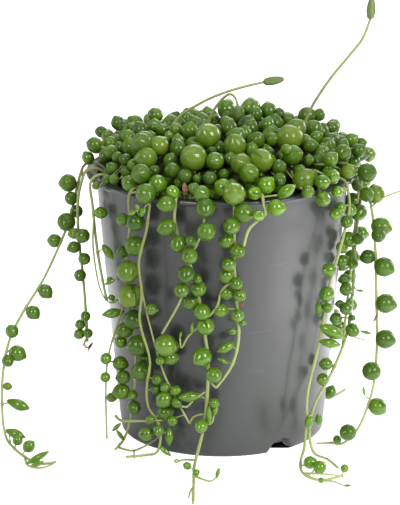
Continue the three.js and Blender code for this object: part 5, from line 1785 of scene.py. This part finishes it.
def fine_shoot(radius, young, knots):
    """A thin stem that tapers to little more than half."""
    return stem_parts(knots, radius, [], next(shoot_seed), ages=(young * 0.7, young), taper=0.6)


def slim_leaf(foot, tip, half_width):
    """A pointed young leaf from its foot to its tip."""
    foot, tip = np.array(foot, float), np.array(tip, float)
    half_length = np.linalg.norm(tip - foot) / 2
    return dict(
        centre=(foot + tip) / 2, axis=tip - foot, size=half_width, length=half_length / half_width,
        width=1.0, neck=0.5, narrow=0.35, point=0.3, youth=0.9, tint=slim_draw.random(), pale=0.0,
        window=WINDOW_WAY + 0.5 * slim_draw.normal(size=3),
    )


for name, shoots in gathered(FINE_SHOOTS, fine_shoot):
    make_piece(name + "_side_shoots", shoots, STEM_SKIN, name)
for name, group in gathered(SLIM_LEAVES, slim_leaf):
    make_piece(name + "_slim_leaves", leaf_parts(group, FINE_RINGS), PEARL_LEAF, name)

# %% Dry bits


def dry_blade(foot, tip, half_width, curl, lean):
    """A dried leaf: half_width * sin(pi v)^0.7 across, bent by curl * sin(pi v), cupped along its middle."""
    foot, tip = np.array(foot, float), np.array(tip, float)
    run = tip - foot
    side = unit(np.cross(run, lean))
    face = np.cross(unit(run), side)
    v = np.linspace(0, 1, 11)[:, None]
    turn = np.arange(12) / 12 * TAU
    across = half_width * np.sin(math.pi * v) ** 0.7 * np.cos(turn)
    thick = 0.22 * np.sin(math.pi * v) ** 0.5 * np.sin(turn) + curl * np.sin(math.pi * v)
    thick = thick + 0.35 * across**2 / half_width
    grid = foot + run * v[..., None] + side * across[..., None] + face * thick[..., None]
    return wrapped_grid(grid, along=v[:, 0])


# node, foot, tip, half the width, how far it bends, and the way that its face leans
DRY_BLADES = [
    ("crown", (-15.8, -55.5, 126.6), (-14.8, -57, 121), 1.2, 0.9, (0, 1, 0.2)),
    ("crown", (-57.5, -9, 125), (-61, -13.5, 117.5), 1.3, 1.4, (1, 0.4, 0)),
    ("crown", (-52.8, -27.5, 125.4), (-57.2, -24.5, 122.8), 0.9, 0.8, (0, 0, 1)),
    ("strand_left_short", (-57.5, -16, 43), (-59.5, -17.5, 38.8), 0.9, 0.5, (1, 0.4, 0)),
    ("strand_far_right", (68.2, -30, 61.5), (66, -30.5, 57), 0.45, 0.3, (0, 1, 0)),
    ("strand_front", (7.2, -60.3, 77.5), (9, -61, 73.5), 0.6, 0.4, (0, 1, 0)),
]
for name, blades in gathered(DRY_BLADES, dry_blade):
    make_piece(name + "_dry_bits", blades, DRY_LEAF, name)

# %% [markdown]
# ## The flower stalks
#
# Bare thin stalks rise from the crown, each with one closed bud. A bud is a spindle of narrow bracts
# laid side by side: its section is a ring of ribs that fade towards both ends.

# %% Buds and stalks


def bud_part(foot, towards, length, radius, bracts=8):
    """A ribbed spindle: radius * profile(v) * (1 + 0.16 |cos(bracts a / 2)| sin(pi v))."""
    towards = unit(np.array(towards, float))
    side = unit(np.cross(towards, [0.2, 0.9, 0.35]))
    other = np.cross(towards, side)
    v = np.linspace(0, 1, 15)[:, None]
    turn = np.arange(40) / 40 * TAU
    stations, widths = [0, 0.05, 0.16, 0.42, 0.72, 0.90, 1], [0.36, 0.72, 0.88, 1.0, 0.84, 0.62, 0.30]
    profile = np.interp(v, stations, widths)
    ribs = 1 + 0.16 * (np.abs(np.cos(bracts * turn / 2)) - 0.6) * np.sin(math.pi * v)
    ring = side * np.cos(turn)[:, None] + other * np.sin(turn)[:, None]
    grid = foot + towards * (v * length)[..., None] + ring[None] * (radius * profile * ribs)[..., None]
    grid = np.concatenate([grid[:1], grid, grid[-1:]])
    along = np.concatenate([[0], v[:, 0], [1]])
    return wrapped_grid(grid, along=along)


FLOWER_STALK_RADIUS = 0.65
for number, stalk in enumerate(STALKS):
    line = lines[stalk["name"]][0]
    points = smooth_curve(line.knots, 1.2)
    share = np.linspace(0, 1, len(points))
    radii = FLOWER_STALK_RADIUS * mix(1.1, 0.85, share) * (1 + 0.08 * ripples(points, 7.0, 200 + number))
    facts = [0.5 + 0.2 * ripples(points, 12.0, 210 + number), mix(0.15, 0.5, share), 0.12 * share]
    skin = tube(points, radii, STEM_SIDES, np.clip(np.stack(facts, axis=-1), 0, 1))
    make_piece(stalk["name"] + "_stem", [skin], STEM_SKIN, stalk["name"], slot="stalk")
    bud = stalk["bud"]
    head = bud_part(line.knots[-1], bud["towards"], bud["length"], bud["radius"])
    make_piece(stalk["name"] + "_bud", [head], BUD_SKIN, stalk["name"], slot="stalk")

# %% [markdown]
# ## The room
#
# A plain white floor that runs out of view, white surroundings, and six soft lights. The two key
# lights stand on either side of the camera, and their reflections are the two bright spots on each
# leaf. The other four are weaker: one overhead, one from behind and one from the left soften the
# shadows, and the last draws the right edge of the pot. The floor looks evenly white. To a shiny
# surface it is darker, with a few painted glowing patches that stand in for lamplight on the floor
# and give the pot its soft reflections, and under the pot its colour is nearly black, as painted
# shade.

# %% Floor
PAINTED_GLOW_SPOT = (0.20, -0.105, 0.0)  # a painted glow on the floor at the right, in place of a lamp's pool of light, which the pot mirrors
BACK_GLOW_SPOTS = [((0.14, 0.13, 0.0), 2.2), ((-0.14, 0.13, 0.0), 0.8)]  # and painted glows behind it, and how bright
PAINTED_SHADE_WITHIN = (0.0455, 0.0460)  # the painted shade under the pot ends between these distances from the middle
PAINTED_SHADE_BEHIND = (-0.0354, -0.0346)  # and begins between these depths
FLOOR_WHITE, tree, shader = new_material("white floor", Roughness=0.9, Specular_IOR_Level=0.0)
floor_spot = object_place(tree)
spread = add_node(tree, "ShaderNodeVectorMath", {0: floor_spot}, operation="LENGTH")
# Under the pot the floor is coloured near black and gets no glow for the camera: painted shade.
under = ramped(tree, spread.outputs["Value"], *PAINTED_SHADE_WITHIN, 1.0, 0.0)
depth = add_node(tree, "ShaderNodeSeparateXYZ", {0: floor_spot}).outputs[1]
shaded = times(tree, under, ramped(tree, depth, *PAINTED_SHADE_BEHIND))
beyond = maths(tree, "SUBTRACT", 1.0, shaded)
seen = add_node(tree, "ShaderNodeLightPath").outputs["Is Camera Ray"]
# The glowing spots are painted light: the floor glows there for every ray but the camera's, though no lamp is
# there.
to_glow_spot = add_node(tree, "ShaderNodeVectorMath", {0: floor_spot, 1: PAINTED_GLOW_SPOT}, operation="DISTANCE")
bright = ramped(tree, to_glow_spot.outputs["Value"], 0.03, 0.10, 1.4, 0.0)
patch = maths(tree, "ADD", bright, ramped(tree, to_glow_spot.outputs["Value"], 0.05, 0.27, 1.3, 0.0))
for middle, strength in BACK_GLOW_SPOTS:
    away = add_node(tree, "ShaderNodeVectorMath", {0: floor_spot, 1: middle}, operation="DISTANCE")
    patch = maths(tree, "ADD", patch, ramped(tree, away.outputs["Value"], 0.03, 0.09, strength, 0.0))
tree.links.new(mixed(tree, beyond, rgb(0.02, 0.02, 0.02), rgb(0.85, 0.85, 0.85)), shader.inputs["Base Color"])
for_camera = times(tree, times(tree, beyond, seen), 0.8)
for_gloss = times(tree, patch, maths(tree, "SUBTRACT", 1.0, seen))
tree.links.new(maths(tree, "ADD", for_camera, for_gloss), shader.inputs["Emission Strength"])
shader.inputs["Emission Color"].default_value = rgb(1, 1, 1)

reach = 4.0  # metres from the middle to each side
floor_mesh = bpy.data.meshes.new("floor")
corners = [(-reach, -reach, 0), (reach, -reach, 0), (reach, reach, 0), (-reach, reach, 0)]
floor_mesh.from_pydata(corners, [], [(0, 1, 2, 3)])
floor_mesh.materials.append(FLOOR_WHITE)
floor = bpy.data.objects.new("floor", floor_mesh)
bpy.context.scene.collection.objects.link(floor)
print("floor", 2 * reach, "m wide")

# %% Surroundings and lights
FRONT_GLOW = 0.035  # the room in front of the plant is dim
BACK_GLOW = 0.44  # and the white wall behind it is lit
LIT_MIDDLE = np.array([0, 0, 0.09])  # the point that all the lights are turned to
world = bpy.data.worlds.new("white room")
world.use_nodes = True
bpy.context.scene.world = world
tree = world.node_tree
seen = add_node(tree, "ShaderNodeLightPath").outputs["Is Camera Ray"]
background = tree.nodes["Background"]
background.inputs["Color"].default_value = rgb(1.0, 1.0, 1.0)
compass = add_node(tree, "ShaderNodeTexCoord").outputs["Generated"]
backwards = add_node(tree, "ShaderNodeSeparateXYZ", {0: compass}).outputs[1]
dim = ramped(tree, backwards, -0.9, 0.6, FRONT_GLOW, BACK_GLOW)
glow = maths(tree, "ADD", times(tree, dim, maths(tree, "SUBTRACT", 1.0, seen)), seen)
tree.links.new(glow, background.inputs["Strength"])


def softbox(name, bearing, elevation, distance, width, height, watts):
    """An area light at a bearing from the front and an elevation, turned to the middle of the plant."""
    data = bpy.data.lights.new(name, "AREA")
    data.shape = "RECTANGLE"
    data.size, data.size_y, data.energy = width, height, watts
    light = bpy.data.objects.new(name, data)
    b, e = math.radians(bearing), math.radians(elevation)
    way = np.array([math.sin(b) * math.cos(e), -math.cos(b) * math.cos(e), math.sin(e)])
    light.location = LIT_MIDDLE + distance * way
    light.rotation_euler = (math.pi / 2 - e, 0, b)
    bpy.context.scene.collection.objects.link(light)


# name, bearing and elevation in degrees, distance, width and height in metres, and watts
LIGHTS = [
    ("key right", 43, 29, 1.5, 0.55, 0.65, 16),
    ("key left", -24, 29, 1.5, 0.45, 0.55, 9.5),
    ("overhead", 0, 84, 1.4, 1.2, 1.2, 6),
    ("back fill", 170, 35, 1.6, 1.0, 0.8, 7),
    ("side fill left", -100, 12, 1.5, 0.4, 0.8, 3),
    ("rim right", 128, 14, 1.3, 0.35, 0.5, 5),
]
for light in LIGHTS:
    softbox(*light)
bpy.context.scene.view_settings.view_transform = "Standard"
bpy.context.scene.view_settings.look = "None"
print(len(LIGHTS), "lights stand round the plant")
